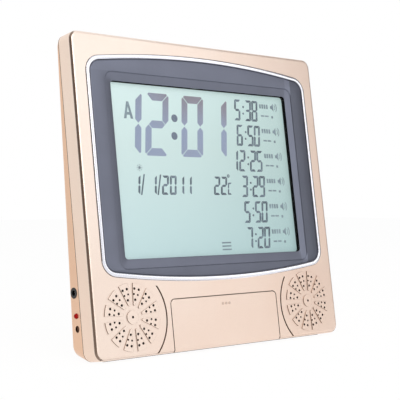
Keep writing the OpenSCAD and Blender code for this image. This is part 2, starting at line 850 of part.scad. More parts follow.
// ---- flip door, keys and latch --------------------------------------------------------------
module front_door() {
    color("#ecd8c6")
    difference() {
        union() {
            slab(0, door_t)
                intersection() {
                    door_opening_2d(0);
                    translate([-door_a, roll_c])
                        square([2 * door_a, door_z]);
                }
            bar_x(roll_r, -door_a, door_a, roll_c, roll_c);
            // snap ribs behind the top edge
            for (side = [-1, 1])
                translate([side * 30, 0, 0])
                    box([-3, door_t - eps, door_z - 3], [3, door_t + 1.2, door_z - 1.6]);
            // raised press dots, three in a row
            for (x = [-3, 0, 3])
                bar_y(0.9, -0.35, eps, x, door_z - 5.4);
        }
        bar_x(rod_r + 0.05, -door_a - cut, door_a + cut, roll_c, roll_c);
    }
}
module door_rod() {
    color("silver")
    bar_x(rod_r, -rod_end, rod_end, roll_c, roll_c);
}
function key_x(i) = (i % key_cols - (key_cols - 1) / 2) * key_dx;
function key_z(i) = key_rows_z[floor(i / key_cols)];
module key_tray() {
    color("#d9c2ae")
    difference() {
        union() {
            box([-door_a - door_gap - 2.6, wall, 2 * roll_c + 1.2],
                [door_a + door_gap + 2.6, wall + 1, door_z + door_gap + 2.4]);
            box([-door_a - door_gap - 0.2, wall + 1 - eps, 2 * roll_c + 1.2],
                [door_a + door_gap + 0.2, tray_y + tray_t, door_z + door_gap + 1]);
        }
        box([-door_a - door_gap + 1, wall - cut, 2 * roll_c + 2.4],
            [door_a + door_gap - 1, tray_y, door_z + door_gap - 0.4]);
        box([-door_a - door_gap, wall - cut, 0], [door_a + door_gap, wall + 1.4, door_z + 0.2]);
        for (i = [0 : 7])
            translate([key_x(i), 0, key_z(i)])
                slab(tray_y - cut, tray_y + tray_t + cut)
                    rounded([-key_w / 2 - key_gap, -key_h / 2 - key_gap],
                        [key_w / 2 + key_gap, key_h / 2 + key_gap], key_r + key_gap);
        bar_y(latch_r + 0.3, tray_y - cut, tray_y + tray_t + cut, 0, latch_z);
    }
}
// A key: a cap that passes through the tray, and a flange behind the tray that keeps it in
module key(i) {
    color("#f1ece6")
    translate([key_x(i), 0, key_z(i)]) {
        slab(key_front_y, tray_y + tray_t + 0.1)
            rounded([-key_w / 2, -key_h / 2], [key_w / 2, key_h / 2], key_r);
        slab(tray_y + tray_t + 0.1, tray_y + tray_t + 0.1 + key_flange_t)
            rounded([-key_w / 2 - 1, -key_h / 2 - 1], [key_w / 2 + 1, key_h / 2 + 1], key_r);
    }
}
module key_mat() {
    color("#8a8d90")
    box([-door_a + 2, mat_y, 7], [door_a - 2, mat_y + mat_t, latch_z - 4.2]);
}
module key_board() {
    color("#1f6b3a")
    box([-door_a + 1, key_board_y, 6.6], [door_a - 1, key_board_y + key_board_t, latch_z - 4]);
}
module latch_housing() {
    color("#2b2d30")
    difference() {
        box([-4, tray_y + tray_t + 0.1, latch_z - 3.4], [4, latch_y1 + latch_travel + 1.6,
            latch_z + 3.4]);
        bar_y(latch_r + 0.05, 0, latch_y1 + latch_travel + 0.3, 0, latch_z);
    }
}
module latch_plunger() {
    color("#e8e4de")
    bar_y(latch_r, door_t + 0.15, latch_y1, 0, latch_z);
}

// ---- speakers -----------------------------------------------------------------------------
spk_y = wall + 1;
basket_l = 9;
magnet_r = 11;
// A profile of [radius, depth] points, turned about a speaker's axis
module turned(side, points) {
    translate([side * spk_x, spk_y, spk_z])
        rotate([-90, 0, 0])
            rotate_extrude()
                polygon(points);
}
module speaker_seals() {
    color("#1a1a1a")
    for (side = [-1, 1])
        difference() {
            bar_y(spk_r, wall, spk_y, side * spk_x, spk_z);
            bar_y(spk_r - 0.6, 0, spk_y + cut, side * spk_x, spk_z);
        }
}
module speaker_basket(side) {
    color("#33363a")
    turned(side, [[spk_r, 0], [spk_r, 1.4], [spk_r - 3, 1.6], [magnet_r + 1, basket_l],
        [3.4, basket_l], [3.4, basket_l - 1], [magnet_r + 0.2, basket_l - 1], [spk_r - 4, 0.9],
        [spk_r - 2, 0.7], [spk_r - 2, 0]]);
}
module speaker_cone(side) {
    color("#17181a")
    turned(side, [[0, 1.5], [4, 2.6], [6, 5], [spk_r - 5, 0.3], [spk_r - 2.2, 0.1],
        [spk_r - 2.2, 0.4], [spk_r - 5, 0.7], [6, 6], [3, 6], [3, 2.8], [0, 2]]);
}
module speaker_magnet(side) {
    color("#55585c")
    turned(side, [[0, basket_l], [magnet_r, basket_l], [magnet_r, basket_l + 5.4],
        [0, basket_l + 5.4]]);
}
// Leads from each speaker up to the main board
lead_r = 0.5;
lead_top = board_z0 + 3;
module speaker_leads() {
    color("#a03030")
    for (side = [-1, 1], k = [0, 1])
        let (x = side * (board_a - 7 - 3 * k), z = spk_z + 4 - 4 * k,
            y = spk_y + basket_l + 2.2, y1 = board_y + board_t + lead_r) {
            bar_x(lead_r, min(x, side * (spk_x - magnet_r)), max(x, side * (spk_x - magnet_r)), y, z);
            translate([x, y, z])
                sphere(r = lead_r);
            translate([x, y, z])
                cylinder(r = lead_r, h = lead_top - z);
            translate([x, y, lead_top])
                sphere(r = lead_r);
            bar_y(lead_r, min(y, y1 - lead_r), max(y, y1 - lead_r), x, lead_top);
        }
}

// ---- stand leg -----------------------------------------------------------------------------
// Drawn hanging from its pivot at the origin, then swung out to its stop
module leg_frame() {
    translate([0, leg_pivot[0], leg_pivot[1]])
        rotate([leg_open, 0, 0])
            children();
}
tip_core = 0.8;                 // half thickness of the tongue inside the rubber tip
module stand_leg() {
    color("#dcc0a4")
    leg_frame()
        difference() {
            union() {
                box([-leg_w / 2, -leg_t / 2, -leg_l + tip_r + 1], [leg_w / 2, leg_t / 2, 0]);
                bar_x(leg_t / 2, -leg_w / 2, leg_w / 2);
                box([-leg_w / 2, -tip_core, -leg_l], [leg_w / 2, tip_core, -leg_l + tip_r + 2]);
            }
            bar_x(leg_pin_r + 0.05, -leg_w, leg_w);
            // a shallow panel on the rear face, and a finger notch
            slab(leg_t / 2 - 1, leg_t)
                rounded([-leg_w / 2 + 4, -leg_l + 20], [leg_w / 2 - 4, -8], 3);
            bar_y(6, leg_t / 2 - 1.4, leg_t, 0, -leg_l + 10);
        }
}
module leg_tip() {
    color("#3a3532")
    leg_frame()
        difference() {
            union() {
                bar_x(tip_r, -leg_w / 2, leg_w / 2, 0, -leg_l);
                box([-leg_w / 2, -tip_r, -leg_l], [leg_w / 2, tip_r, -leg_l + tip_r + 1]);
            }
            box([-leg_w / 2 - cut, -tip_core, -leg_l], [leg_w / 2 + cut, tip_core, cut]);
        }
}
module leg_pin() {
    color("silver")
    on_back(leg_z)
        bar_x(leg_pin_r, -leg_w / 2 - 1.8, leg_w / 2 + 1.8, -leg_inset, 0);
}

// ---- battery lid, cells and contacts ----------------------------------------------------------
module battery_lid() {
    color("#dcc0a4")
    on_back(bay_z0) {
        box([bay_x0 + lid_gap, -lid_t, lid_axis_in + lid_gap],
            [bay_x1 - lid_gap, 0, bay_h - lid_gap]);
        bar_x(lid_axis_in, bay_x0 + lid_gap, bay_x1 - lid_gap, -lid_axis_in, lid_axis_in + lid_gap);
        bar_x(lid_pin_r, bay_x0 - 1, bay_x1 + 1, -lid_axis_in, lid_axis_in + lid_gap);
        // grip ribs near the top
        for (k = [0 : 3])
            translate([(bay_x0 + bay_x1) / 2, 0, bay_h - 6 - 2 * k])
                box([-6, -eps, 0], [6, 0.4, 0.8]);
    }
}
module each_cell() {
    for (k = [0 : 2])
        on_back(bay_z0)
            translate([bay_x0 + cell_gap + cell_r + k * cell_pitch, -cell_in, contact_room])
                children();
}
module battery_cells() {
    color("#4a6a8a")
    each_cell() {
        cylinder(r = cell_r, h = cell_l);
        translate([0, 0, cell_l - eps])
            cylinder(r = 1.9, h = 1);
    }
}
module battery_contacts() {
    color("silver")
    each_cell()
        for (z = [-contact_room, cell_l + 1 + contact_room - 0.4]) {
            translate([-4, -4, z])
                cube([8, 8, 0.4]);
            translate([0, 0, z > 0 ? z - contact_room + 0.5 : z + 0.4 - eps])
                cylinder(r = 2.2, h = contact_room - 0.5);
        }
}

// ---- side fittings ------------------------------------------------------------------------------
module power_inlet() {
    color("#101010")
    difference() {
        union() {
            bar_x(inlet_r, side_x - 0.2, side_x + wall, inlet_y, inlet_z);
            box([side_x + wall, inlet_y - inlet_r, inlet_z - 4.4],
                [side_board_x, min(inlet_y + inlet_r - 1, inside_y(inlet_z + 4.4) - 1),
                    inlet_z + 4.4]);
        }
        bar_x(inlet_bore_r, side_x - cut, side_x + inlet_l, inlet_y, inlet_z);
    }
}
module inlet_pin() {
    color("silver")
    bar_x(0.6, side_x + 1, side_x + inlet_l, inlet_y, inlet_z);
}
module red_lamp() {
    color("#7a1616")
    union() {
        bar_x(lamp_r, side_x - lamp_proud + lamp_r, side_x + wall + 2, lamp_y, lamp_z);
        translate([side_x - lamp_proud + lamp_r, lamp_y, lamp_z])
            sphere(r = lamp_r);
        for (dz = [-1.1, 1.1])
            bar_x(0.25, side_x + wall + 2 - eps, side_board_x, lamp_y, lamp_z + dz);
    }
}
module reset_button() {
    color("#5a3a26")
    bar_x(reset_hole_r - 0.25, side_x + reset_recess, side_board_x - 4.4, lamp_y, reset_z);
}
module side_board() {
    color("#1f6b3a")
    union() {
        box([side_board_x, seam_y + 2.6, reset_z - 5],
            [side_board_x + side_board_t, min(lamp_y + 4, inside_y(inlet_z + 7)), inlet_z + 7]);
        // the switch behind the reset button
        box([side_board_x - 3.6, lamp_y - 2.5, reset_z - 2.5],
            [side_board_x + eps, lamp_y + 2.5, reset_z + 2.5]);
    }
}

standing() front_shell();
standing() rear_cover();
standing() trim_ring();
standing() bezel();
standing() window_lens();
standing() lcd_gasket();
standing() lcd_panel();
standing() lcd_time_digits();
standing() lcd_small_digits();
standing() lcd_symbols();
standing() light_guide();
standing() backlight_leds();
standing() lcd_holder();
standing() lcd_ribbon();
standing() main_board();
standing() board_parts();
standing() board_screws();
standing() front_door();
standing() door_rod();
standing() key_tray();
standing() key(0);  // key_1
standing() key(1);  // key_2
standing() key(2);  // key_3
standing() key(3);  // key_4
standing() key(4);  // key_5
standing() key(5);  // key_6
standing() key(6);  // key_7
standing() key(7);  // key_8
standing() key_mat();
standing() key_board();
standing() latch_housing();
standing() latch_plunger();
standing() speaker_seals();
standing() speaker_basket(-1);  // left_speaker_basket
standing() speaker_cone(-1);  // left_speaker_cone
standing() speaker_magnet(-1);  // left_speaker_magnet
standing() speaker_basket(1);  // right_speaker_basket
standing() speaker_cone(1);  // right_speaker_cone
standing() speaker_magnet(1);  // right_speaker_magnet
standing() speaker_leads();
standing() stand_leg();
standing() leg_tip();
standing() leg_pin();
standing() battery_lid();
standing() battery_cells();
standing() battery_contacts();
standing() power_inlet();
standing() inlet_pin();
standing() red_lamp();
standing() reset_button();
standing() side_board();
standing() case_screws();
standing() base_strip();
standing() temperature_sensor();
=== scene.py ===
"""The looks of a leaning table clock: finishes, fine mouldings and a plain studio round it."""

import json
import math

import bmesh
import bpy
from bpy.props import FloatProperty, FloatVectorProperty, PointerProperty
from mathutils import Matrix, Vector


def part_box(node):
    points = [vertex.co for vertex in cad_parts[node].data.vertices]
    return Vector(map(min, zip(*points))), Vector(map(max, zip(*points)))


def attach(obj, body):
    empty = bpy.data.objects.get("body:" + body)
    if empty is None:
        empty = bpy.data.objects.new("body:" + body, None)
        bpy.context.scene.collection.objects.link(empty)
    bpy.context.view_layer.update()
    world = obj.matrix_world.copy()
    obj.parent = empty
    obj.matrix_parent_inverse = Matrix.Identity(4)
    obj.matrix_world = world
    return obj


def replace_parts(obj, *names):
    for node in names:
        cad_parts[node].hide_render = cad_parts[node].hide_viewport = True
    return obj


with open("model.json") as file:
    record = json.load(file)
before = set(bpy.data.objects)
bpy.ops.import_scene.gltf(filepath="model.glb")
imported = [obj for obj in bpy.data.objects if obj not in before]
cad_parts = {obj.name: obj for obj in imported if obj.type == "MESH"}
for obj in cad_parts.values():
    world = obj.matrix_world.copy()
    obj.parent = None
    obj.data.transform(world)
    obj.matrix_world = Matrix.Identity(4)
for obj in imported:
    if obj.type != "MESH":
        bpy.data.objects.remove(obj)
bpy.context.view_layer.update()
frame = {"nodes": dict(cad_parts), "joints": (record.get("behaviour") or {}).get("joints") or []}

bl_info = {
    "name": "Table clock looks",
    "version": (1, 0, 0),
    "blender": (4, 5, 0),
    "location": "View3D > Sidebar > Clock",
    "description": "Dresses the packed table clock and builds its fine mouldings",
    "category": "Object",
}

MM = 0.001


# ---- places on the leaning clock ---------------------------------------------------------------

def joint(name):
    """The record's joint of that name."""
    return next(j for j in frame["joints"] if j["name"] == name)


ACROSS = Vector((1, 0, 0))
INTO = Vector(joint("key_1_press")["axis"])     # square into the face, as the keys travel
UP = ACROSS.cross(INTO)                         # up along the face
DOOR_ROLL = 2.6                                 # the door's hinge, up from the foot and back
FOOT = Vector(joint("door_hinge")["pos_m"]) - DOOR_ROLL * MM * (INTO + UP)


def at(x, depth, height):
    """A point in the row frame, from millimetres across, behind and up the face."""
    return FOOT + MM * (x * ACROSS + depth * INTO + height * UP)


def middle_of(node):
    """The middle of a node's box at rest."""
    low, high = (Vector(corner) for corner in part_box(node))
    return (low + high) / 2


def on_face(place):
    """How far across and up the face a place is, in millimetres."""
    away = place - FOOT
    return away.dot(ACROSS) / MM, away.dot(UP) / MM


def colour(code):
    """A scene-linear colour from a screen colour such as #ecd8c6."""
    parts = [int(code[i:i + 2], 16) / 255 for i in (1, 3, 5)]
    return tuple(p / 12.92 if p <= 0.04045 else ((p + 0.055) / 1.055) ** 2.4 for p in parts)


# ---- sizes and colours that a user may change --------------------------------------------------

def tint(name, code, description):
    """A colour property with a screen colour as its default."""
    return FloatVectorProperty(name=name, description=description, subtype="COLOR", size=3,
                               min=0, max=1, default=colour(code))


class ClockCasing(bpy.types.PropertyGroup):
    """Colours and surface of the casing"""
    front: tint("Front", "#f7dfcf", "Metallic paint of the front shell and door")
    back: tint("Back", "#f0c9ab", "Metallic paint of the rear cover, leg and lid")
    trim: tint("Trim ring", "#ecedf6", "Bright ring round the display")
    bezel: tint("Bezel", "#707483", "Slate frame of the display")
    satin: FloatProperty(name="Satin", description="Roughness of the paint", default=0.36,
                         min=0.05, max=1, subtype="FACTOR")
    edge: FloatProperty(name="Edge", description="Radius of the softened edges", default=0.25 * MM,
                        min=0.05 * MM, max=MM, unit="LENGTH", precision=5)


class ClockDisplay(bpy.types.PropertyGroup):
    """Colours of the display"""
    # The glass's bright left and dim right are partly painted shade.
    bright: tint("Bright side", "#d3e8e7", "Display glass at the left")
    dim: tint("Dim side", "#b7cfcd", "Display glass at the right")
    large: tint("Large marks", "#a9b6d2", "Strokes of the large digits")
    large_grey: tint("Large marks, grey", "#a19ca6", "Where the large digits catch less light")
    small: tint("Small marks", "#6c7985", "Strokes of the small digits")
    faint: tint("Faint marks", "#8d9ea8", "Plain marks beside the digits")


class ClockStudio(bpy.types.PropertyGroup):
    """Lens and lamps"""
    lens: FloatProperty(name="Lens", description="Focal length in millimetres on a 36 mm sensor",
                        default=89.46, min=20, max=300)
    key: FloatProperty(name="Key lamp", description="Power of the large soft lamp in watts",
                       default=13, min=0, max=200)
    fill: FloatProperty(name="Fill lamp", description="Power of the small soft lamp in watts",
                        default=2, min=0, max=200)
    sky: FloatProperty(name="Sky", description="Light from all round", default=0.55, min=0, max=2)


def settings():
    """The three property groups: casing, display and studio."""
    scene = bpy.context.scene
    return scene.clock_casing, scene.clock_display, scene.clock_studio


# ---- finishes ----------------------------------------------------------------------------------

class Finish:
    """One procedural material: a Principled shader and the nodes that feed it."""

    def __init__(self, name, base, roughness, metallic=0.0, **sockets):
        self.material = bpy.data.materials.new(name)
        self.material.use_nodes = True
        self.tree = self.material.node_tree
        self.shader = self.tree.nodes["Principled BSDF"]
        self.place = self.tree.nodes.new("ShaderNodeTexCoord").outputs["Object"]
        self.normal = None
        self.set("Base Color", (*base[:3], 1))
        self.set("Roughness", roughness)
        self.set("Metallic", metallic)
        for socket, value in sockets.items():
            self.set(socket.replace("_", " "), value)

    def set(self, socket, value):
        """A constant, or another node's output, on a socket of the shader."""
        if isinstance(value, bpy.types.NodeSocket):
            self.tree.links.new(value, self.shader.inputs[socket])
        else:
            self.shader.inputs[socket].default_value = value

    def node(self, kind, links=(), **attributes):
        """A new node with its attributes set and sockets linked or filled."""
        made = self.tree.nodes.new(kind)
        for name, value in attributes.items():
            setattr(made, name, value)
        for socket, value in dict(links).items():
            if isinstance(value, bpy.types.NodeSocket):
                self.tree.links.new(value, made.inputs[socket])
            else:
                made.inputs[socket].default_value = value
        return made

    def stretched(self, size, stretch=(1, 1, 1)):
        """The place on the piece, counted in patches of that size in millimetres."""
        scale = [1 / (size * MM * s) for s in stretch]
        return self.node("ShaderNodeMapping", {"Vector": self.place, "Scale": scale}).outputs[0]

    def noise(self, size, stretch=(1, 1, 1), detail=2.0):
        """Soft noise with patches of about that size in millimetres."""
        return self.node("ShaderNodeTexNoise", {
            "Vector": self.stretched(size, stretch), "Scale": 1.0, "Detail": detail}).outputs[0]

    def grains(self, size):
        """Distance to scattered points of about that spacing in millimetres."""
        return self.node("ShaderNodeTexVoronoi", {
            "Vector": self.stretched(size), "Scale": 1.0}).outputs["Distance"]

    def along(self, direction, start, end):
        """0 to 1 between two distances in millimetres from the middle of the face's foot."""
        zero = FOOT.dot(direction)
        dot = self.node("ShaderNodeVectorMath", {0: self.place, 1: tuple(direction)},
                        operation="DOT_PRODUCT").outputs["Value"]
        return self.node("ShaderNodeMapRange", {
            "Value": dot, "From Min": zero + start * MM, "From Max": zero + end * MM}).outputs[0]

    def joined(self, operation, *values):
        """Values joined by one operation, such as MULTIPLY for all and MAXIMUM for any."""
        total = values[0]
        for value in values[1:]:
            made = self.node("ShaderNodeMath", {0: total, 1: value}, operation=operation)
            total = made.outputs[0]
        return total

    def band(self, direction, start, end, blur=0.02):
        """1 between two distances in millimetres from the foot's middle, else 0."""
        return self.joined("MULTIPLY", self.along(direction, start - blur, start),
                           self.along(direction, end + blur, end))

    def spread(self, value, low, high):
        """Stretches a 0 to 1 value over a range."""
        return self.node("ShaderNodeMapRange", {
            "Value": value, "To Min": low, "To Max": high}).outputs[0]

    def steps(self, value, *stops):
        """A colour ramp of (position, colour) stops."""
        ramp = self.node("ShaderNodeValToRGB", {"Fac": value})
        while len(ramp.color_ramp.elements) < len(stops):
            ramp.color_ramp.elements.new(0.5)
        for element, (position, shade) in zip(ramp.color_ramp.elements, stops):
            element.position = position
            element.color = (*shade[:3], 1)
        return ramp.outputs[0]

    def mottled(self, value, first, second):
        """Soft patches of two colours, from a noise."""
        return self.steps(value, (0.3, first), (0.7, second))

    def mix(self, factor, first, second, kind="MIX"):
        """Two colours mixed by a value."""
        made = self.tree.nodes.new("ShaderNodeMix")
        made.data_type = "RGBA"
        made.blend_type = kind
        for socket, value in ((made.inputs[0], factor), (made.inputs[6], first),
                              (made.inputs[7], second)):
            if isinstance(value, bpy.types.NodeSocket):
                self.tree.links.new(value, socket)
            elif socket == made.inputs[0]:
                socket.default_value = value
            else:
                socket.default_value = (*value[:3], 1)
        return made.outputs[2]

    def soften(self, radius):
        """Rounds the look of sharp edges by a radius in metres."""
        self.normal = self.node("ShaderNodeBevel", {"Radius": radius}, samples=6).outputs[0]
        self.set("Normal", self.normal)

    def facing(self, direction):
        """1 where the softened surface looks along a direction, 0 where it is square to it."""
        turned = self.node("ShaderNodeVectorTransform", {"Vector": self.normal},
                           vector_type="NORMAL", convert_from="WORLD", convert_to="OBJECT")
        return self.node("ShaderNodeVectorMath", {0: turned.outputs[0], 1: tuple(direction)},
                         operation="DOT_PRODUCT").outputs["Value"]

    def near(self, place, radius):
        """1 within a radius in millimetres of a place, else 0."""
        away = self.node("ShaderNodeVectorMath", {0: self.place, 1: tuple(place)},
                         operation="DISTANCE").outputs["Value"]
        return self.node("ShaderNodeMapRange", {
            "Value": away, "From Min": (radius + 0.05) * MM, "From Max": radius * MM}).outputs[0]

    def relief(self, height, depth, strength):
        """Bumps of a depth in millimetres, over what relief is there already."""
        links = {"Height": height, "Distance": depth * MM, "Strength": strength}
        if self.normal:
            links["Normal"] = self.normal
        self.normal = self.node("ShaderNodeBump", links).outputs[0]
        self.set("Normal", self.normal)


def shaded(base, factor):
    """A colour made lighter or darker."""
    return tuple(min(1, c * factor) for c in base[:3])


def between(first, second, share):
    """A colour part of the way from one to another."""
    return tuple(a + (b - a) * share for a, b in zip(first[:3], second[:3]))


# Places on the casing, in millimetres across, behind or up the face
BODY = (222.0, 211.5)       # the face's width and height
FACE_EDGE = 3.4             # the rounded rim of the face
SEAM = (13.6, 14.0)         # front and back of the groove between the shells
PETALS = (-0.56, -0.04)     # walls of the grille's raised petals, in front of the face
DOOR = (48.5, 34.6)         # half the flip door's width, and its top
DOOR_EDGE = 0.15            # how far in from its sides and top the door's edge walls count
GAP_SHADE_START = 0.15          # how deep behind the face the painted shade starts in holes and gaps
FOOT_SHADE_START = 0.5            # the same on the rounded foot, above FOOT_LINE
FOOT_LINE = 0.9
GRILLE_RADIUS = 23.0        # round each speaker's middle, where the holes get the darkest painted shade
RECESS_RADIUS = 2.4         # round the reset button's recess
RECESS_DEPTH = 0.3          # from the button's outer end back to the middle of that round


def painted_gap_shade(paint):
    """Painted shade: 1 in the face's holes and gaps, in the seam and in the reset button's recess.
    """
    width, height = BODY
    sides = paint.joined("MULTIPLY", paint.along(INTO, SEAM[0], SEAM[0] - 0.1),
                         paint.band(ACROSS, FACE_EDGE - width / 2, width / 2 - FACE_EDGE))
    within = paint.joined("MULTIPLY", sides, paint.along(INTO, GAP_SHADE_START - 0.05, GAP_SHADE_START),
                          paint.band(UP, FACE_EDGE, height - FACE_EDGE))
    foot = paint.joined("MULTIPLY", sides, paint.along(INTO, FOOT_SHADE_START - 0.05, FOOT_SHADE_START),
                        paint.band(UP, FOOT_LINE, FACE_EDGE))
    recess = middle_of("reset_button")
    recess.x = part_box("reset_button")[0][0] + RECESS_DEPTH * MM
    return paint.joined("MAXIMUM", within, foot, paint.band(INTO, *SEAM),
                        paint.near(recess, RECESS_RADIUS))


def painted_rim_shade(paint, share):
    """Painted shade on the rounded rim and the petals' walls: how much darker they are painted."""
    turned = paint.steps(paint.facing(-INTO), (0.22, (0, 0, 0)), (0.36, (1, 1, 1)),
                         (0.80, (1, 1, 1)), (0.93, (0, 0, 0)))
    sideways = paint.node("ShaderNodeMath", {0: paint.facing(ACROSS)}, operation="ABSOLUTE")
    sideways = paint.steps(sideways.outputs[0], (0.25, (0, 0, 0)), (0.45, (1, 1, 1)))
    rim = paint.joined("MULTIPLY", turned, sideways)
    return paint.joined("MULTIPLY", paint.joined("MAXIMUM", rim, paint.band(INTO, *PETALS)), share)


def over_grilles(paint):
    """1 within the round of either speaker's grille."""
    rounds = []
    for side in ("left", "right"):
        x, z = on_face(middle_of(f"{side}_speaker_cone"))
        rounds.append(paint.near(at(x, 1, z), GRILLE_RADIUS))
    return paint.joined("MAXIMUM", *rounds)


def door_gap_shade(paint):
    """Painted shade: 1 on the walls of the flip door's sides and top, which face the gap round it.
    """
    half_width, top = DOOR
    inner = paint.joined("MULTIPLY",
                         paint.band(ACROSS, DOOR_EDGE - half_width, half_width - DOOR_EDGE),
                         paint.along(UP, top - DOOR_EDGE + 0.05, top - DOOR_EDGE))
    outside = paint.joined("SUBTRACT", 1.0, inner)
    return paint.joined("MULTIPLY", outside, paint.along(INTO, GAP_SHADE_START - 0.05, GAP_SHADE_START))


PAINT_METALLIC = 0.78
SHEEN_SPAN = (-40, 190)              # painted highlight: creamier from the foot's middle up and left
SHEEN_CREAM = colour("#fdf3ea")       # the palest, creamiest tone of the painted highlight
RIM_SHADE_BROWN = colour("#6a4f3b")   # the painted shade's darkest brown, where the surface turns away
SHADE_DEPTHS = (0.9, 1.4)             # where the painted shade in holes and gaps turns from its shallow tone to its darkest
# Painted shade in holes and gaps: its shallow and its darkest colour
SHALLOW_SHADE = colour("#553726")
DARKEST_SHADE = colour("#120b07")


def satin_paint(name, base, roughness, edge, rim=0.0, painted_sheen=0.0, shade_in_gaps=painted_gap_shade,
                grilles=False):
    """Metallic paint on a moulded shell: fine flakes, a soft cloudiness and spray texture.

    rim is how much painted shade darkens the rounded rim and the petals' walls, where the surface
    turns away from the face. The next argument is how much painted highlight makes the paint
    lighter towards the upper left, the one after gives the places where holes, gaps and the seam
    take painted shade, and grilles makes those in front of the speakers the darkest."""
    paint = Finish(name, base, roughness, PAINT_METALLIC, Specular_IOR_Level=0.5)
    paint.soften(edge)
    # Painted highlight: the paint turns lighter and creamier towards the upper left.
    upper_left = (0.6 * UP - 0.8 * ACROSS).normalized()
    sheen_share = paint.spread(paint.along(upper_left, *SHEEN_SPAN), 0, painted_sheen)
    shade = paint.mix(sheen_share, base, SHEEN_CREAM)
    flakes = paint.steps(paint.grains(0.16), (0.0, (1.05,) * 3), (0.55, (1,) * 3),
                         (1.0, (0.88,) * 3))
    clouds = paint.mottled(paint.noise(34, detail=3), (0.98, 0.955, 0.945), (1, 1, 1))
    skin = paint.mix(1.0, paint.mix(1.0, shade, flakes, "MULTIPLY"), clouds, "MULTIPLY")
    if rim:
        # Painted shade on the sides: warmer and a little darker where the surface turns from the
        # face.
        side_shade_tint = paint.steps(paint.facing(-INTO), (0.05, (1.0, 0.945, 0.89)), (0.2, (1, 1, 1)))
        skin = paint.mix(1.0, skin, side_shade_tint, "MULTIPLY")
        # Painted shade darkens the rim and the petals' walls towards brown, standing in for their
        # dark reflection.
        skin = paint.mix(painted_rim_shade(paint, rim), skin, RIM_SHADE_BROWN)
    # Holes, gaps, the seam and the recess take painted shade in place of the paint, darker deeper
    # in.
    gap_shade_mask = shade_in_gaps(paint)
    depth_shade = paint.steps(paint.along(INTO, *SHADE_DEPTHS), (0, SHALLOW_SHADE), (1, DARKEST_SHADE))
    if grilles:
        depth_shade = paint.mix(over_grilles(paint), depth_shade, DARKEST_SHADE)
    paint.set("Base Color", paint.mix(gap_shade_mask, skin, depth_shade))
    paint.set("Metallic", paint.spread(gap_shade_mask, PAINT_METALLIC, 0.0))
    paint.set("Roughness", paint.spread(paint.noise(2.4, detail=4), roughness - 0.05,
                                        roughness + 0.05))
    paint.relief(paint.noise(0.5, detail=3), 0.006, 0.5)
    paint.set("Coat Weight", 0.1)
    paint.set("Coat Roughness", 0.22)
    return paint.material


def moulded(name, base, roughness=0.5):
    """Moulded plastic with a fine spark-eroded grain."""
    plastic = Finish(name, base, roughness)
    plastic.set("Base Color", plastic.mottled(plastic.noise(9, detail=3), shaded(base, 0.93),
                                              shaded(base, 1.06)))
    plastic.set("Roughness", plastic.spread(plastic.noise(1.3), roughness - 0.06,
                                            roughness + 0.06))
    plastic.soften(0.2 * MM)
    plastic.relief(plastic.grains(0.35), 0.012, 0.6)
    return plastic.material


def bright_trim(base):
    """The glossy bright ring, with the faint ripple of a plated moulding."""
    ring = Finish("bright_trim", base, 0.14, 0.88, Specular_IOR_Level=0.6)
    ring.set("Roughness", ring.spread(ring.noise(3), 0.10, 0.18))
    ring.set("Base Color", ring.mottled(ring.noise(14, detail=3), shaded(base, 0.97), base))
    ring.relief(ring.noise(2.2, detail=1), 0.004, 0.4)
    ring.set("Coat Weight", 0.5)
    ring.set("Coat Roughness", 0.06)
    return ring.material


# Painted light and shade on the slate: a direction, two distances from the foot's middle, a factor
SLATE_PAINTED_LIGHT = ((ACROSS, 86.4, 100, 0.64), (ACROSS, 81, 86.2, 1.2), (UP, 48, 56, 0.86),
               (UP, 186.6, 201, 1.1))


def slate_plastic(base):
    """The bezel's slate plastic: silky, with fine pale specks and broad painted light and shade.
    """
    slate = Finish("slate_bezel", base, 0.38, 0.6)
    tone = slate.mottled(slate.noise(26, detail=4), shaded(base, 0.94), shaded(base, 1.05))
    for direction, start, end, strength in SLATE_PAINTED_LIGHT:
        share = slate.spread(slate.band(direction, start, end, 0.3), 1, strength)
        tone = slate.mix(1.0, tone, share, "MULTIPLY")
    slate.set("Base Color", slate.mix(slate.spread(slate.grains(0.2), 0, 0.14), tone,
                                      shaded(base, 1.5)))
    slate.set("Roughness", slate.spread(slate.noise(1.8, detail=3), 0.32, 0.42))
    slate.relief(slate.noise(0.35, detail=3), 0.008, 0.5)
    return slate.material


def clear_window():
    """The clear window: nearly all see-through, with a gloss of its own."""
    clear = Finish("clear_lens", colour("#10181a"), 0.05, IOR=1.49)
    clear.set("Alpha", 0.04)
    clear.set("Roughness", clear.spread(clear.noise(30), 0.03, 0.08))
    return clear.material


GLASS_GLOW = 0.5        # strength of its own light, partly painted light against the bezel's shadow
GLASS_BASE = 0.71       # the share of its colour that is left to light from outside


def display_glass(bright, dim):
    """Reflective display glass: brighter at the left, partly painted shade, with a fine scatter in
    its film.
    """
    glass = Finish("display_glass", bright, 0.32, Specular_IOR_Level=0.35)
    sideways = glass.along(ACROSS, -82, 82)
    base = glass.steps(sideways, (0.0, bright), (0.45, between(bright, dim, 0.35)),
                       (1.0, dim))
    # Painted shade, partly the backlight's falloff: a little darker and bluer towards the foot.
    darker_below = glass.steps(glass.along(UP, 60, 190), (0.0, colour("#eef6fa")),
                        (0.6, colour("#ffffff")))
    film = glass.mottled(glass.noise(0.6, detail=3), (0.975, 0.98, 0.98), (1, 1, 1))
    shade = glass.mix(1.0, glass.mix(1.0, base, darker_below, "MULTIPLY"), film, "MULTIPLY")
    glass.set("Base Color", glass.mix(1.0, shade, (GLASS_BASE,) * 3, "MULTIPLY"))
    # Painted light: the glow grows towards the top, against the shadow the bezel casts there.
    glow = glass.spread(glass.along(UP, 140, 182), 1.0, 1.22)
    glass.set("Emission Color", glass.mix(1.0, shade, glow, "MULTIPLY"))
    glass.set("Emission Strength", GLASS_GLOW)
    glass.relief(glass.noise(0.12), 0.002, 0.4)
    return glass.material


COLON = (-30.4, -23.4)  # where the large colon stands, across the face


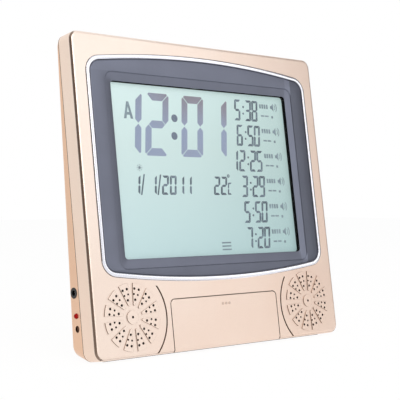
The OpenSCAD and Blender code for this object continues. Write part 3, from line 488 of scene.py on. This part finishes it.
def large_marks(low, high):
    """Large liquid crystal strokes: lavender, with painted shade greying the upper strokes past
    the first.
    """
    marks = Finish("time_marks", low, 0.4, Specular_IOR_Level=0.2)
    upward = marks.along(UP, 150, 176)
    later = marks.along(ACROSS, -70, -18)
    drift = marks.spread(marks.noise(12, detail=1), -0.2, 0.2)
    share = marks.joined("MULTIPLY", marks.joined("ADD", upward, drift), later)
    strokes = marks.mix(share, low, high)
    marks.set("Base Color", marks.mix(marks.band(ACROSS, *COLON), strokes, colour("#8490a2")))
    return marks.material


def small_marks(name, dark, light):
    """Small liquid crystal strokes, whose tone shifts from one to the next."""
    marks = Finish(name, dark, 0.4, Specular_IOR_Level=0.2)
    marks.set("Base Color", marks.steps(marks.noise(6, detail=1), (0.4, dark), (0.65, light)))
    return marks.material


def foam():
    """Black foam with open cells."""
    black = Finish("black_foam", colour("#0a0b0c"), 0.9, Specular_IOR_Level=0.1)
    cells = black.grains(0.3)
    black.set("Base Color", black.steps(cells, (0.0, colour("#040404")), (0.8, colour("#0e0f11"))))
    black.relief(cells, 0.05, 0.6)
    return black.material


def soft_rubber(name, base):
    """Matt rubber with a dusty, slightly uneven skin."""
    rubber = Finish(name, base, 0.72, Sheen_Weight=0.2, Sheen_Roughness=0.5)
    rubber.set("Base Color", rubber.mottled(rubber.noise(4, detail=5), shaded(base, 0.85),
                                            shaded(base, 1.2)))
    rubber.relief(rubber.noise(0.3, detail=4), 0.02, 0.6)
    return rubber.material


def plated_steel():
    """Nickel-plated steel with drawn lines along its length."""
    steel = Finish("plated_steel", colour("#c9c8c4"), 0.24, 1.0)
    lines = steel.noise(0.12, (60, 1, 1), detail=3)
    steel.set("Roughness", steel.spread(lines, 0.16, 0.36))
    steel.set("Base Color", steel.mottled(lines, colour("#b7b6b2"), colour("#d6d5d1")))
    steel.relief(lines, 0.003, 0.4)
    return steel.material


def circuit_board():
    """Green solder resist over copper tracks."""
    board = Finish("circuit_board", colour("#14532d"), 0.35, Coat_Weight=0.3)
    tracks = board.node("ShaderNodeTexBrick", {
        "Vector": board.stretched(5), "Color1": (*colour("#15572f"), 1),
        "Color2": (*colour("#1a6436"), 1), "Mortar": (*colour("#2b7d47"), 1), "Scale": 1.0,
        "Mortar Size": 0.05})
    spots = board.grains(6)
    pads = board.steps(spots, (0.0, colour("#c9ccd0")), (0.09, colour("#c9ccd0")),
                       (0.12, colour("#14532d")))
    share = board.steps(spots, (0.10, (1, 1, 1)), (0.12, (0, 0, 0)))
    board.set("Base Color", board.mix(share, tracks.outputs[0], pads))
    board.relief(tracks.outputs[1], 0.03, 0.5)
    return board.material


def ribbon_cable():
    """Amber film with fine copper lines along it."""
    film = Finish("copper_ribbon", colour("#b5762a"), 0.3, Coat_Weight=0.4)
    lines = film.node("ShaderNodeTexWave", {"Vector": film.place, "Scale": 900.0},
                      bands_direction="X").outputs[1]
    film.set("Base Color", film.steps(lines, (0.45, colour("#8a5218")), (0.55, colour("#c88a3c"))))
    return film.material


def cell_sleeve():
    """A plain shrink sleeve: a blue can with a pale band, and no lettering."""
    sleeve = Finish("cell_sleeve", colour("#2f4f79"), 0.3, 0.3, Coat_Weight=0.4)
    upward = sleeve.along(UP, 15, 60)
    bands = sleeve.steps(upward, (0.0, colour("#2f4f79")), (0.70, colour("#2f4f79")),
                         (0.72, colour("#c9ccd0")))
    wear = sleeve.steps(sleeve.noise(2, detail=5), (0.25, (0.85, 0.85, 0.85)), (0.5, (1, 1, 1)))
    sleeve.set("Base Color", sleeve.mix(1.0, bands, wear, "MULTIPLY"))
    return sleeve.material


def paper_cone():
    """Coated paper with its fibres."""
    cone = Finish("cone_paper", colour("#161719"), 0.75)
    fibres = cone.noise(0.5, (1, 6, 1), detail=5)
    cone.set("Base Color", cone.mottled(fibres, colour("#0d0e10"), colour("#222427")))
    cone.relief(fibres, 0.05, 0.6)
    return cone.material


def magnet_metal():
    """Dark pitted metal."""
    metal = Finish("magnet_steel", colour("#5a5c60"), 0.5, 0.7)
    pits = metal.noise(0.8, detail=5)
    metal.set("Base Color", metal.mottled(pits, colour("#3c3e42"), colour("#6c6e72")))
    metal.set("Roughness", metal.spread(pits, 0.4, 0.7))
    metal.relief(pits, 0.03, 0.5)
    return metal.material


def lamp_dome():
    """Deep red plastic, slightly uneven."""
    dome = Finish("lamp_red", colour("#ac0a0a"), 0.35, Specular_IOR_Level=0.12)
    dome.set("Base Color", dome.mottled(dome.noise(0.9), colour("#8e0505"), colour("#b80b09")))
    return dome.material


def dress(node, material):
    """Gives a CAD node a finish."""
    for place in frame["nodes"][node].material_slots:
        place.material = material


# ---- mesh building -----------------------------------------------------------------------------

CORNER_STEPS = 10               # edges along each rounded corner of a frame
SIDE_STEPS = 18                 # edges along its top and its foot
SHARP = math.radians(40)        # edges that turn further than this stay sharp


def corner_arc(x, z, radius, start, end):
    """Points along an arc, in degrees, in X and Z."""
    angles = [math.radians(start + (end - start) * i / CORNER_STEPS)
              for i in range(CORNER_STEPS + 1)]
    return [(x + radius * math.cos(a), z + radius * math.sin(a)) for a in angles]


def outline(half_width, foot, top, corner, bow=None):
    """A frame outline, anticlockwise from the right. bow is the radius of its top and foot."""
    middle = (foot + top) / 2
    rise = top - middle
    centre_x = half_width - corner
    if bow:
        centre_z = rise - bow + math.sqrt((bow - corner) ** 2 - centre_x ** 2)
        turn = math.degrees(math.atan2(centre_z - (rise - bow), centre_x))
    else:
        centre_z = rise - corner
        turn = 90
    right = corner_arc(centre_x, centre_z, corner, 0, turn)
    left = corner_arc(-centre_x, centre_z, corner, 180 - turn, 180)
    if bow:
        angles = [math.radians(turn + (180 - 2 * turn) * i / SIDE_STEPS)
                  for i in range(1, SIDE_STEPS)]
        across = [(bow * math.cos(a), rise - bow + bow * math.sin(a)) for a in angles]
    else:
        across = [(centre_x - 2 * centre_x * i / SIDE_STEPS, rise) for i in range(1, SIDE_STEPS)]
    upper = right + across + left
    return [(x, middle + z) for x, z in upper] + [(-x, middle - z) for x, z in upper]


def loft(name, rings, material, capped=False):
    """A skin through rings of (x, z) points, each with its depth, all in millimetres.

    It closes on itself as a band, or is capped at its first and last ring."""
    mesh = bmesh.new()
    loops = [[mesh.verts.new(at(x, depth, z)) for x, z in ring] for ring, depth in rings]
    following = loops[1:] if capped else loops[1:] + loops[:1]
    if capped:
        for ends in (loops[0], loops[-1]):
            mesh.faces.new(ends)
    for here, there in zip(loops, following):
        for i in range(len(here)):
            j = (i + 1) % len(here)
            mesh.faces.new((here[i], here[j], there[j], there[i]))
    bmesh.ops.recalc_face_normals(mesh, faces=mesh.faces)
    return finished(name, mesh, material)


def finished(name, mesh, material):
    """A new object from a bmesh, smooth but for its sharp edges."""
    data = bpy.data.meshes.new(name)
    mesh.to_mesh(data)
    mesh.free()
    data.shade_smooth()
    data.set_sharp_from_angle(angle=SHARP)
    data.materials.append(material)
    made = bpy.data.objects.new(name, data)
    bpy.context.scene.collection.objects.link(made)
    return made


# Sizes of the display's frames, in millimetres on the face
BEZEL = {"half_width": 98.1, "foot": 48.6, "top": 199.2, "corner": 8.5, "bow": 678.0}
STEP = {"half_width": 86.2, "foot": 56.2, "top": 186.4, "corner": 6.0}
WINDOW = {"half_width": 81.0, "foot": 62.7, "top": 180.6, "corner": 2.5}
TRIM_WIDTH = 2.7
TRIM_PROUD = 0.8        # how far the ring stands out of the face
TRIM_FLANGE = 0.8       # how far it reaches out behind the face
FRAME_GAP = 0.2         # between the ring and the bezel
WALL = 2.2              # the front shell's thickness, which both frames reach past


def drawn_in(frame_sizes, margin):
    """An outline drawn in by a margin, or out where it is negative."""
    sizes = dict(frame_sizes)
    sizes["half_width"] -= margin
    sizes["foot"] += margin
    sizes["top"] -= margin
    sizes["corner"] = max(sizes["corner"] - margin, 0.3)
    if sizes.get("bow"):
        sizes["bow"] -= margin
    return outline(**sizes)


def build_trim_ring(material):
    """The bright ring: a crowned band round the bezel, with a flange behind the face."""
    inner = -FRAME_GAP
    outer = -FRAME_GAP - TRIM_WIDTH
    hidden = outer - TRIM_FLANGE
    profile = [(hidden, WALL + 1), (hidden, WALL), (outer, WALL), (outer, 0.1),
               (outer, -0.35), (outer + 0.1, -0.55), (outer + 0.32, -0.7),
               (outer + 0.7, -0.78), (outer + 1.35, -TRIM_PROUD), (inner - 0.7, -0.78),
               (inner - 0.32, -0.7), (inner - 0.1, -0.55), (inner, -0.35), (inner, 0.1),
               (inner, WALL + 1)]
    return loft("display_trim", [(drawn_in(BEZEL, m), depth) for m, depth in profile], material)


def build_bezel(material):
    """The slate frame: a groove beside the trim, a flat border, a step down and a sloping band."""
    border = [(1.0, WALL + 2.2), (1.0, WALL), (0, WALL), (0, 0.9), (0.4, 0.95), (0.45, 0.3),
              (0.55, 0.12), (0.75, 0.04), (1.0, 0)]
    step = [(-0.5, 0), (-0.3, 0.06), (-0.15, 0.22), (0.05, 0.85), (0.2, 1.05), (0.45, 1.12),
            (0.8, 1.16)]
    slope = [(-0.5, 1.8), (-0.2, 1.9), (-0.05, 2.0), (0, 2.1), (0, WALL)]
    seat = [(-3.4, WALL), (-3.4, WALL + 2.2)]
    rings = [(drawn_in(BEZEL, m), depth) for m, depth in border]
    rings += [(drawn_in(STEP, m), depth) for m, depth in step]
    rings += [(drawn_in(WINDOW, m), depth) for m, depth in slope + seat]
    return loft("display_bezel", rings, material)


def regular(corners, radius, turn=0):
    """Corners of a regular polygon, turned by degrees from pointing right."""
    angles = [math.radians(turn + 360 * i / corners) for i in range(corners)]
    return [(radius * math.cos(a), radius * math.sin(a)) for a in angles]


def cross(reach, half):
    """A plus sign's outline: its reach from the middle and half of its stroke."""
    arm = [(reach, -half), (reach, half), (half, half)]
    turns = [(1, 0), (0, 1), (-1, 0), (0, -1)]
    return [(x * c - z * s, x * s + z * c) for c, s in turns for x, z in arm]


def dash(reach, half):
    """A minus sign's outline."""
    return [(reach, -half), (reach, half), (-reach, half), (-reach, -half)]


# One plain sign for each key, as an outline in millimetres round the key's middle
KEY_SIGNS = (cross(1.7, 0.38), dash(1.7, 0.38), regular(3, 1.8, 90), regular(3, 1.8, -90),
             regular(3, 1.8, 180), regular(3, 1.8), regular(28, 1.4), regular(4, 1.9, 45))
KEY_FRONT = 2.9         # how far behind the face the keys' fronts are
SIGN_PROUD = 0.18       # how far a sign stands out of its key
SIGN_ROOT = 0.3         # how deep it sits in the key


def build_key_sign(i, points, material):
    """A raised sign with softened upper edges, in the middle of a key's front."""
    x, z = on_face(middle_of(f"key_{i}"))
    rings = []
    for scale, depth in ((1, SIGN_ROOT), (1, 0.05 - SIGN_PROUD), (0.94, -SIGN_PROUD)):
        rings.append(([(x + px * scale, z + pz * scale) for px, pz in points], KEY_FRONT + depth))
    return loft(f"key_sign_{i}", rings, material, capped=True)


RUBBER = colour("#2e2a27")


# ---- operators: one for each piece or group of like pieces -------------------------------------

class CLOCK_OT_casing(bpy.types.Operator):
    """Paint both shells and finish what holds them together"""
    bl_idname = "clock.casing"
    bl_label = "Casing"

    def execute(self, context):
        casing, _, _ = settings()
        dress("front_shell", satin_paint("champagne_front", casing.front, casing.satin,
                                         casing.edge, rim=0.85, painted_sheen=0.62, grilles=True))
        dress("rear_cover", satin_paint("champagne_back", casing.back, casing.satin, casing.edge))
        dress("case_screws", plated_steel())
        dress("base_strip", soft_rubber("base_rubber", RUBBER))
        return {"FINISHED"}


class CLOCK_OT_trim_ring(bpy.types.Operator):
    """Build the bright ring round the display"""
    bl_idname = "clock.trim_ring"
    bl_label = "Trim ring"

    def execute(self, context):
        casing, _, _ = settings()
        ring = build_trim_ring(bright_trim(casing.trim))
        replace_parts(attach(ring, "case"), "trim_ring")
        return {"FINISHED"}


class CLOCK_OT_bezel(bpy.types.Operator):
    """Build the slate frame of the display"""
    bl_idname = "clock.bezel"
    bl_label = "Bezel"

    def execute(self, context):
        casing, _, _ = settings()
        bezel = build_bezel(slate_plastic(casing.bezel))
        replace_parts(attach(bezel, "case"), "bezel")
        return {"FINISHED"}


class CLOCK_OT_display(bpy.types.Operator):
    """Finish the window, the display glass and its marks"""
    bl_idname = "clock.display"
    bl_label = "Display"

    def execute(self, context):
        _, display, _ = settings()
        dress("window_lens", clear_window())
        dress("lcd_gasket", foam())
        dress("lcd_panel", display_glass(display.bright, display.dim))
        dress("lcd_time_digits", large_marks(display.large, display.large_grey))
        dress("lcd_small_digits", small_marks("small_marks", display.small,
                                              shaded(display.small, 1.5)))
        dress("lcd_symbols", small_marks("faint_marks", display.faint,
                                         shaded(display.faint, 1.3)))
        return {"FINISHED"}


class CLOCK_OT_inner_works(bpy.types.Operator):
    """Finish what lies behind the display"""
    bl_idname = "clock.inner_works"
    bl_label = "Inner works"

    def execute(self, context):
        white = moulded("white_diffuser", colour("#eef2f1"), 0.4)
        dark = moulded("dark_moulding", colour("#26282b"), 0.5)
        dress("light_guide", white)
        dress("backlight_leds", white)
        dress("lcd_holder", dark)
        dress("lcd_ribbon", ribbon_cable())
        board = circuit_board()
        for node in ("main_board", "side_board", "key_board"):
            dress(node, board)
        dress("board_parts", moulded("board_components", colour("#1c1c1e"), 0.45))
        dress("board_screws", plated_steel())
        dress("temperature_sensor", moulded("sensor_bead", colour("#a4611c"), 0.3))
        return {"FINISHED"}


class CLOCK_OT_flip_door(bpy.types.Operator):
    """Paint the flip door and finish its rod and latch"""
    bl_idname = "clock.flip_door"
    bl_label = "Flip door"

    def execute(self, context):
        casing, _, _ = settings()
        dress("front_door", satin_paint("champagne_door", casing.front, casing.satin,
                                        casing.edge, rim=0.3, painted_sheen=0.62, shade_in_gaps=door_gap_shade))
        dress("door_rod", plated_steel())
        dress("latch_housing", moulded("latch_moulding", colour("#2b2d30")))
        dress("latch_plunger", moulded("latch_cap", colour("#e4dfd6"), 0.35))
        return {"FINISHED"}


class CLOCK_OT_keys(bpy.types.Operator):
    """Finish the keys behind the door, their tray and mat"""
    bl_idname = "clock.keys"
    bl_label = "Keys"

    def execute(self, context):
        dress("key_tray", moulded("key_well", colour("#cdb49c"), 0.5))
        caps = moulded("key_caps", colour("#ece6dc"), 0.35)
        ink = moulded("key_sign", colour("#7d6f63"), 0.45)
        for i, points in enumerate(KEY_SIGNS, start=1):
            dress(f"key_{i}", caps)
            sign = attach(build_key_sign(i, points, ink), f"key_body_{i}")
        dress("key_mat", soft_rubber("key_rubber", colour("#8a8d90")))
        return {"FINISHED"}


class CLOCK_OT_speakers(bpy.types.Operator):
    """Finish both speakers behind the grilles"""
    bl_idname = "clock.speakers"
    bl_label = "Speakers"

    def execute(self, context):
        basket = moulded("speaker_basket", colour("#1d1f22"), 0.5)
        cone = paper_cone()
        magnet = magnet_metal()
        for side in ("left", "right"):
            dress(f"{side}_speaker_basket", basket)
            dress(f"{side}_speaker_cone", cone)
            dress(f"{side}_speaker_magnet", magnet)
        dress("speaker_seals", foam())
        dress("speaker_leads", soft_rubber("lead_cover", colour("#8c2a2a")))
        return {"FINISHED"}


class CLOCK_OT_stand_leg(bpy.types.Operator):
    """Finish the fold-out leg, its tip and its pin"""
    bl_idname = "clock.stand_leg"
    bl_label = "Stand leg"

    def execute(self, context):
        casing, _, _ = settings()
        dress("stand_leg", satin_paint("champagne_leg", casing.back, casing.satin, casing.edge))
        dress("leg_tip", soft_rubber("tip_rubber", RUBBER))
        dress("leg_pin", plated_steel())
        return {"FINISHED"}


class CLOCK_OT_battery_bay(bpy.types.Operator):
    """Finish the battery lid, the cells and their contacts"""
    bl_idname = "clock.battery_bay"
    bl_label = "Battery bay"

    def execute(self, context):
        casing, _, _ = settings()
        dress("battery_lid", satin_paint("champagne_lid", casing.back, casing.satin, casing.edge))
        dress("battery_cells", cell_sleeve())
        dress("battery_contacts", plated_steel())
        return {"FINISHED"}


class CLOCK_OT_side_fittings(bpy.types.Operator):
    """Finish the inlet, the red lamp and the reset button on the left side"""
    bl_idname = "clock.side_fittings"
    bl_label = "Side fittings"

    def execute(self, context):
        dress("power_inlet", moulded("inlet_black", colour("#070708"), 0.3))
        dress("inlet_pin", plated_steel())
        dress("red_lamp", lamp_dome())
        dress("reset_button", moulded("reset_brown", colour("#5a3416"), 0.5))
        return {"FINISHED"}


# The camera as fitted to the photograph, level and turned towards the clock
CAMERA_AT = (-0.4608, -0.5158, 0.1021)
CAMERA_TURN = math.radians(-40.68)
SENSOR = 36.0           # its width in millimetres

# Two soft lamps, with places and sizes in metres
LAMPS_AIM = at(0, 0, 105)
KEY_LAMP = {"place": (-0.7, -1.5, 1.1), "size": 1.3, "shade": (1, 0.985, 0.96)}
FILL_LAMP = {"place": (1.3, -0.9, 0.7), "size": 1.0, "shade": (1, 1, 1)}

# Cards that show only in gloss: degrees towards +X and up, half sizes in degrees, and a shade
CARDS = {
    "flag_left": (-64, 12, 32, 30, (0.05, 0.04, 0.035)),
    "flag_right": (78, 12, 26, 40, (0.16, 0.14, 0.13)),
    "glow_left": (20, 36, 16, 14, (1.35, 1.35, 1.35)),
}
CARD_DISTANCE = 1.5     # metres from the face's middle
FACE_MIDDLE = at(0, 0, BODY[1] / 2)

FLOOR_REACH = 4.0       # metres from its middle to its sides
FLOOR_DROP = 0.2 * MM   # how far it lies under the clock's foot, so that the two don't meet
FLOOR_TONE = 0.86
FLOOR_GLOW = 1.04       # its brightness as it is seen
FLOOR_SHARE = 0.9       # how much of what is seen is glow, the rest keeps the shadow


def studio_light(name, power, place, size, shade):
    """A square soft lamp that points at the clock."""
    lamp = bpy.data.lights.new(name, "AREA")
    lamp.size = size
    lamp.energy = power
    lamp.color = shade
    made = bpy.data.objects.new(name, lamp)
    bpy.context.scene.collection.objects.link(made)
    made.location = place
    made.rotation_euler = (LAMPS_AIM - Vector(place)).to_track_quat("-Z", "Y").to_euler()


def seen_directly(tree):
    """1 for rays from the camera, from gloss or through glass, and 0 for light itself."""
    path = tree.nodes.new("ShaderNodeLightPath")
    total = path.outputs["Is Camera Ray"]
    for ray in ("Is Glossy Ray", "Is Transmission Ray"):
        either = tree.nodes.new("ShaderNodeMath")
        either.operation = "MAXIMUM"
        tree.links.new(total, either.inputs[0])
        tree.links.new(path.outputs[ray], either.inputs[1])
        total = either.outputs[0]
    return total


def around(azimuth, elevation, distance):
    """A place round the face's middle, by degrees from straight in front towards +X, and up."""
    a, e = math.radians(azimuth), math.radians(elevation)
    away = Vector((math.sin(a) * math.cos(e), -math.cos(a) * math.cos(e), math.sin(e)))
    return FACE_MIDDLE + distance * away


def reflector_card(name, azimuth, elevation, half_width, half_height, shade):
    """A card that shows only in gloss. Its half sizes are angles seen from the clock."""
    mesh = bmesh.new()
    bmesh.ops.create_grid(mesh, x_segments=4, y_segments=4, size=CARD_DISTANCE)
    material = bpy.data.materials.new(name)
    material.use_nodes = True
    tree = material.node_tree
    tree.nodes.remove(tree.nodes["Principled BSDF"])
    tone = tree.nodes.new("ShaderNodeEmission")
    tone.inputs["Color"].default_value = (*shade, 1)
    tree.links.new(tone.outputs[0], tree.nodes["Material Output"].inputs["Surface"])
    card = finished(name, mesh, material)
    card.scale = (math.tan(math.radians(half_width)), math.tan(math.radians(half_height)), 1)
    card.location = around(azimuth, elevation, CARD_DISTANCE)
    facing = FACE_MIDDLE - card.location
    card.rotation_euler = facing.to_track_quat("Z", "Y").to_euler()
    for ray in ("camera", "diffuse", "transmission", "shadow", "volume_scatter"):
        setattr(card, "visible_" + ray, False)


def light_from_all_round(strength):
    """A world that lights softly and is seen as plain white."""
    world = bpy.data.worlds.new("studio")
    world.use_nodes = True
    tree = world.node_tree
    soft = tree.nodes["Background"]
    soft.inputs["Color"].default_value = (1, 1, 1, 1)
    soft.inputs["Strength"].default_value = strength
    white = tree.nodes.new("ShaderNodeBackground")
    white.inputs["Color"].default_value = (1, 1, 1, 1)
    white.inputs["Strength"].default_value = 1.0
    both = tree.nodes.new("ShaderNodeMixShader")
    tree.links.new(seen_directly(tree), both.inputs[0])
    tree.links.new(soft.outputs[0], both.inputs[1])
    tree.links.new(white.outputs[0], both.inputs[2])
    tree.links.new(both.outputs[0], tree.nodes["World Output"].inputs["Surface"])
    bpy.context.scene.world = world


def pale_floor():
    """A wide pale floor that keeps a faint shadow."""
    mesh = bmesh.new()
    bmesh.ops.create_grid(mesh, x_segments=8, y_segments=8, size=FLOOR_REACH)
    floor = finished("floor", mesh, bpy.data.materials.new("pale_floor"))
    floor.location.z = -FLOOR_DROP
    material = floor.data.materials[0]
    material.use_nodes = True
    tree = material.node_tree
    tree.nodes.remove(tree.nodes["Principled BSDF"])
    plain = tree.nodes.new("ShaderNodeBsdfDiffuse")
    plain.inputs["Color"].default_value = (*(FLOOR_TONE,) * 3, 1)
    glow = tree.nodes.new("ShaderNodeEmission")
    glow.inputs["Strength"].default_value = FLOOR_GLOW
    share = tree.nodes.new("ShaderNodeMath")
    share.operation = "MULTIPLY"
    share.inputs[1].default_value = FLOOR_SHARE
    both = tree.nodes.new("ShaderNodeMixShader")
    tree.links.new(seen_directly(tree), share.inputs[0])
    tree.links.new(share.outputs[0], both.inputs[0])
    tree.links.new(plain.outputs[0], both.inputs[1])
    tree.links.new(glow.outputs[0], both.inputs[2])
    tree.links.new(both.outputs[0], tree.nodes["Material Output"].inputs["Surface"])


class CLOCK_OT_stage(bpy.types.Operator):
    """Set the floor, the soft lamps and the camera"""
    bl_idname = "clock.stage"
    bl_label = "Stage"

    def execute(self, context):
        _, _, studio = settings()
        lens = bpy.data.cameras.new("camera")
        lens.lens = studio.lens
        lens.sensor_width = SENSOR
        lens.clip_start = 0.01
        camera = bpy.data.objects.new("camera", lens)
        camera.location = CAMERA_AT
        camera.rotation_euler = (math.radians(90), 0, CAMERA_TURN)
        context.scene.collection.objects.link(camera)
        context.scene.camera = camera
        studio_light("key", studio.key, **KEY_LAMP)
        studio_light("fill", studio.fill, **FILL_LAMP)
        light_from_all_round(studio.sky)
        for name, card in CARDS.items():
            reflector_card(name, *card)
        pale_floor()
        context.scene.view_settings.view_transform = "Standard"
        return {"FINISHED"}


# ---- panel, registration and the run -----------------------------------------------------------

OPERATORS = (
    CLOCK_OT_stage, CLOCK_OT_casing, CLOCK_OT_trim_ring, CLOCK_OT_bezel, CLOCK_OT_display,
    CLOCK_OT_inner_works, CLOCK_OT_flip_door, CLOCK_OT_keys, CLOCK_OT_speakers,
    CLOCK_OT_stand_leg, CLOCK_OT_battery_bay, CLOCK_OT_side_fittings,
)


class CLOCK_PT_looks(bpy.types.Panel):
    """Colours, lamps and a button for each group of pieces"""
    bl_label = "Table clock"
    bl_idname = "CLOCK_PT_looks"
    bl_space_type = "VIEW_3D"
    bl_region_type = "UI"
    bl_category = "Clock"

    def draw(self, context):
        for group in settings():
            box = self.layout.box()
            for name in group.bl_rna.properties.keys():
                if name not in ("rna_type", "name"):
                    box.prop(group, name)
        for operator in OPERATORS:
            self.layout.operator(operator.bl_idname)


GROUPS = {"clock_casing": ClockCasing, "clock_display": ClockDisplay, "clock_studio": ClockStudio}


def register():
    for group in GROUPS.values():
        bpy.utils.register_class(group)
    for name, group in GROUPS.items():
        setattr(bpy.types.Scene, name, PointerProperty(type=group))
    for made in (*OPERATORS, CLOCK_PT_looks):
        bpy.utils.register_class(made)


def unregister():
    for made in (CLOCK_PT_looks, *reversed(OPERATORS)):
        bpy.utils.unregister_class(made)
    for name, group in GROUPS.items():
        delattr(bpy.types.Scene, name)
        bpy.utils.unregister_class(group)


def main():
    """Builds everything in order."""
    register()
    for operator in OPERATORS:
        group, name = operator.bl_idname.split(".")
        getattr(getattr(bpy.ops, group), name)()


if __name__ == "__main__":
    main()
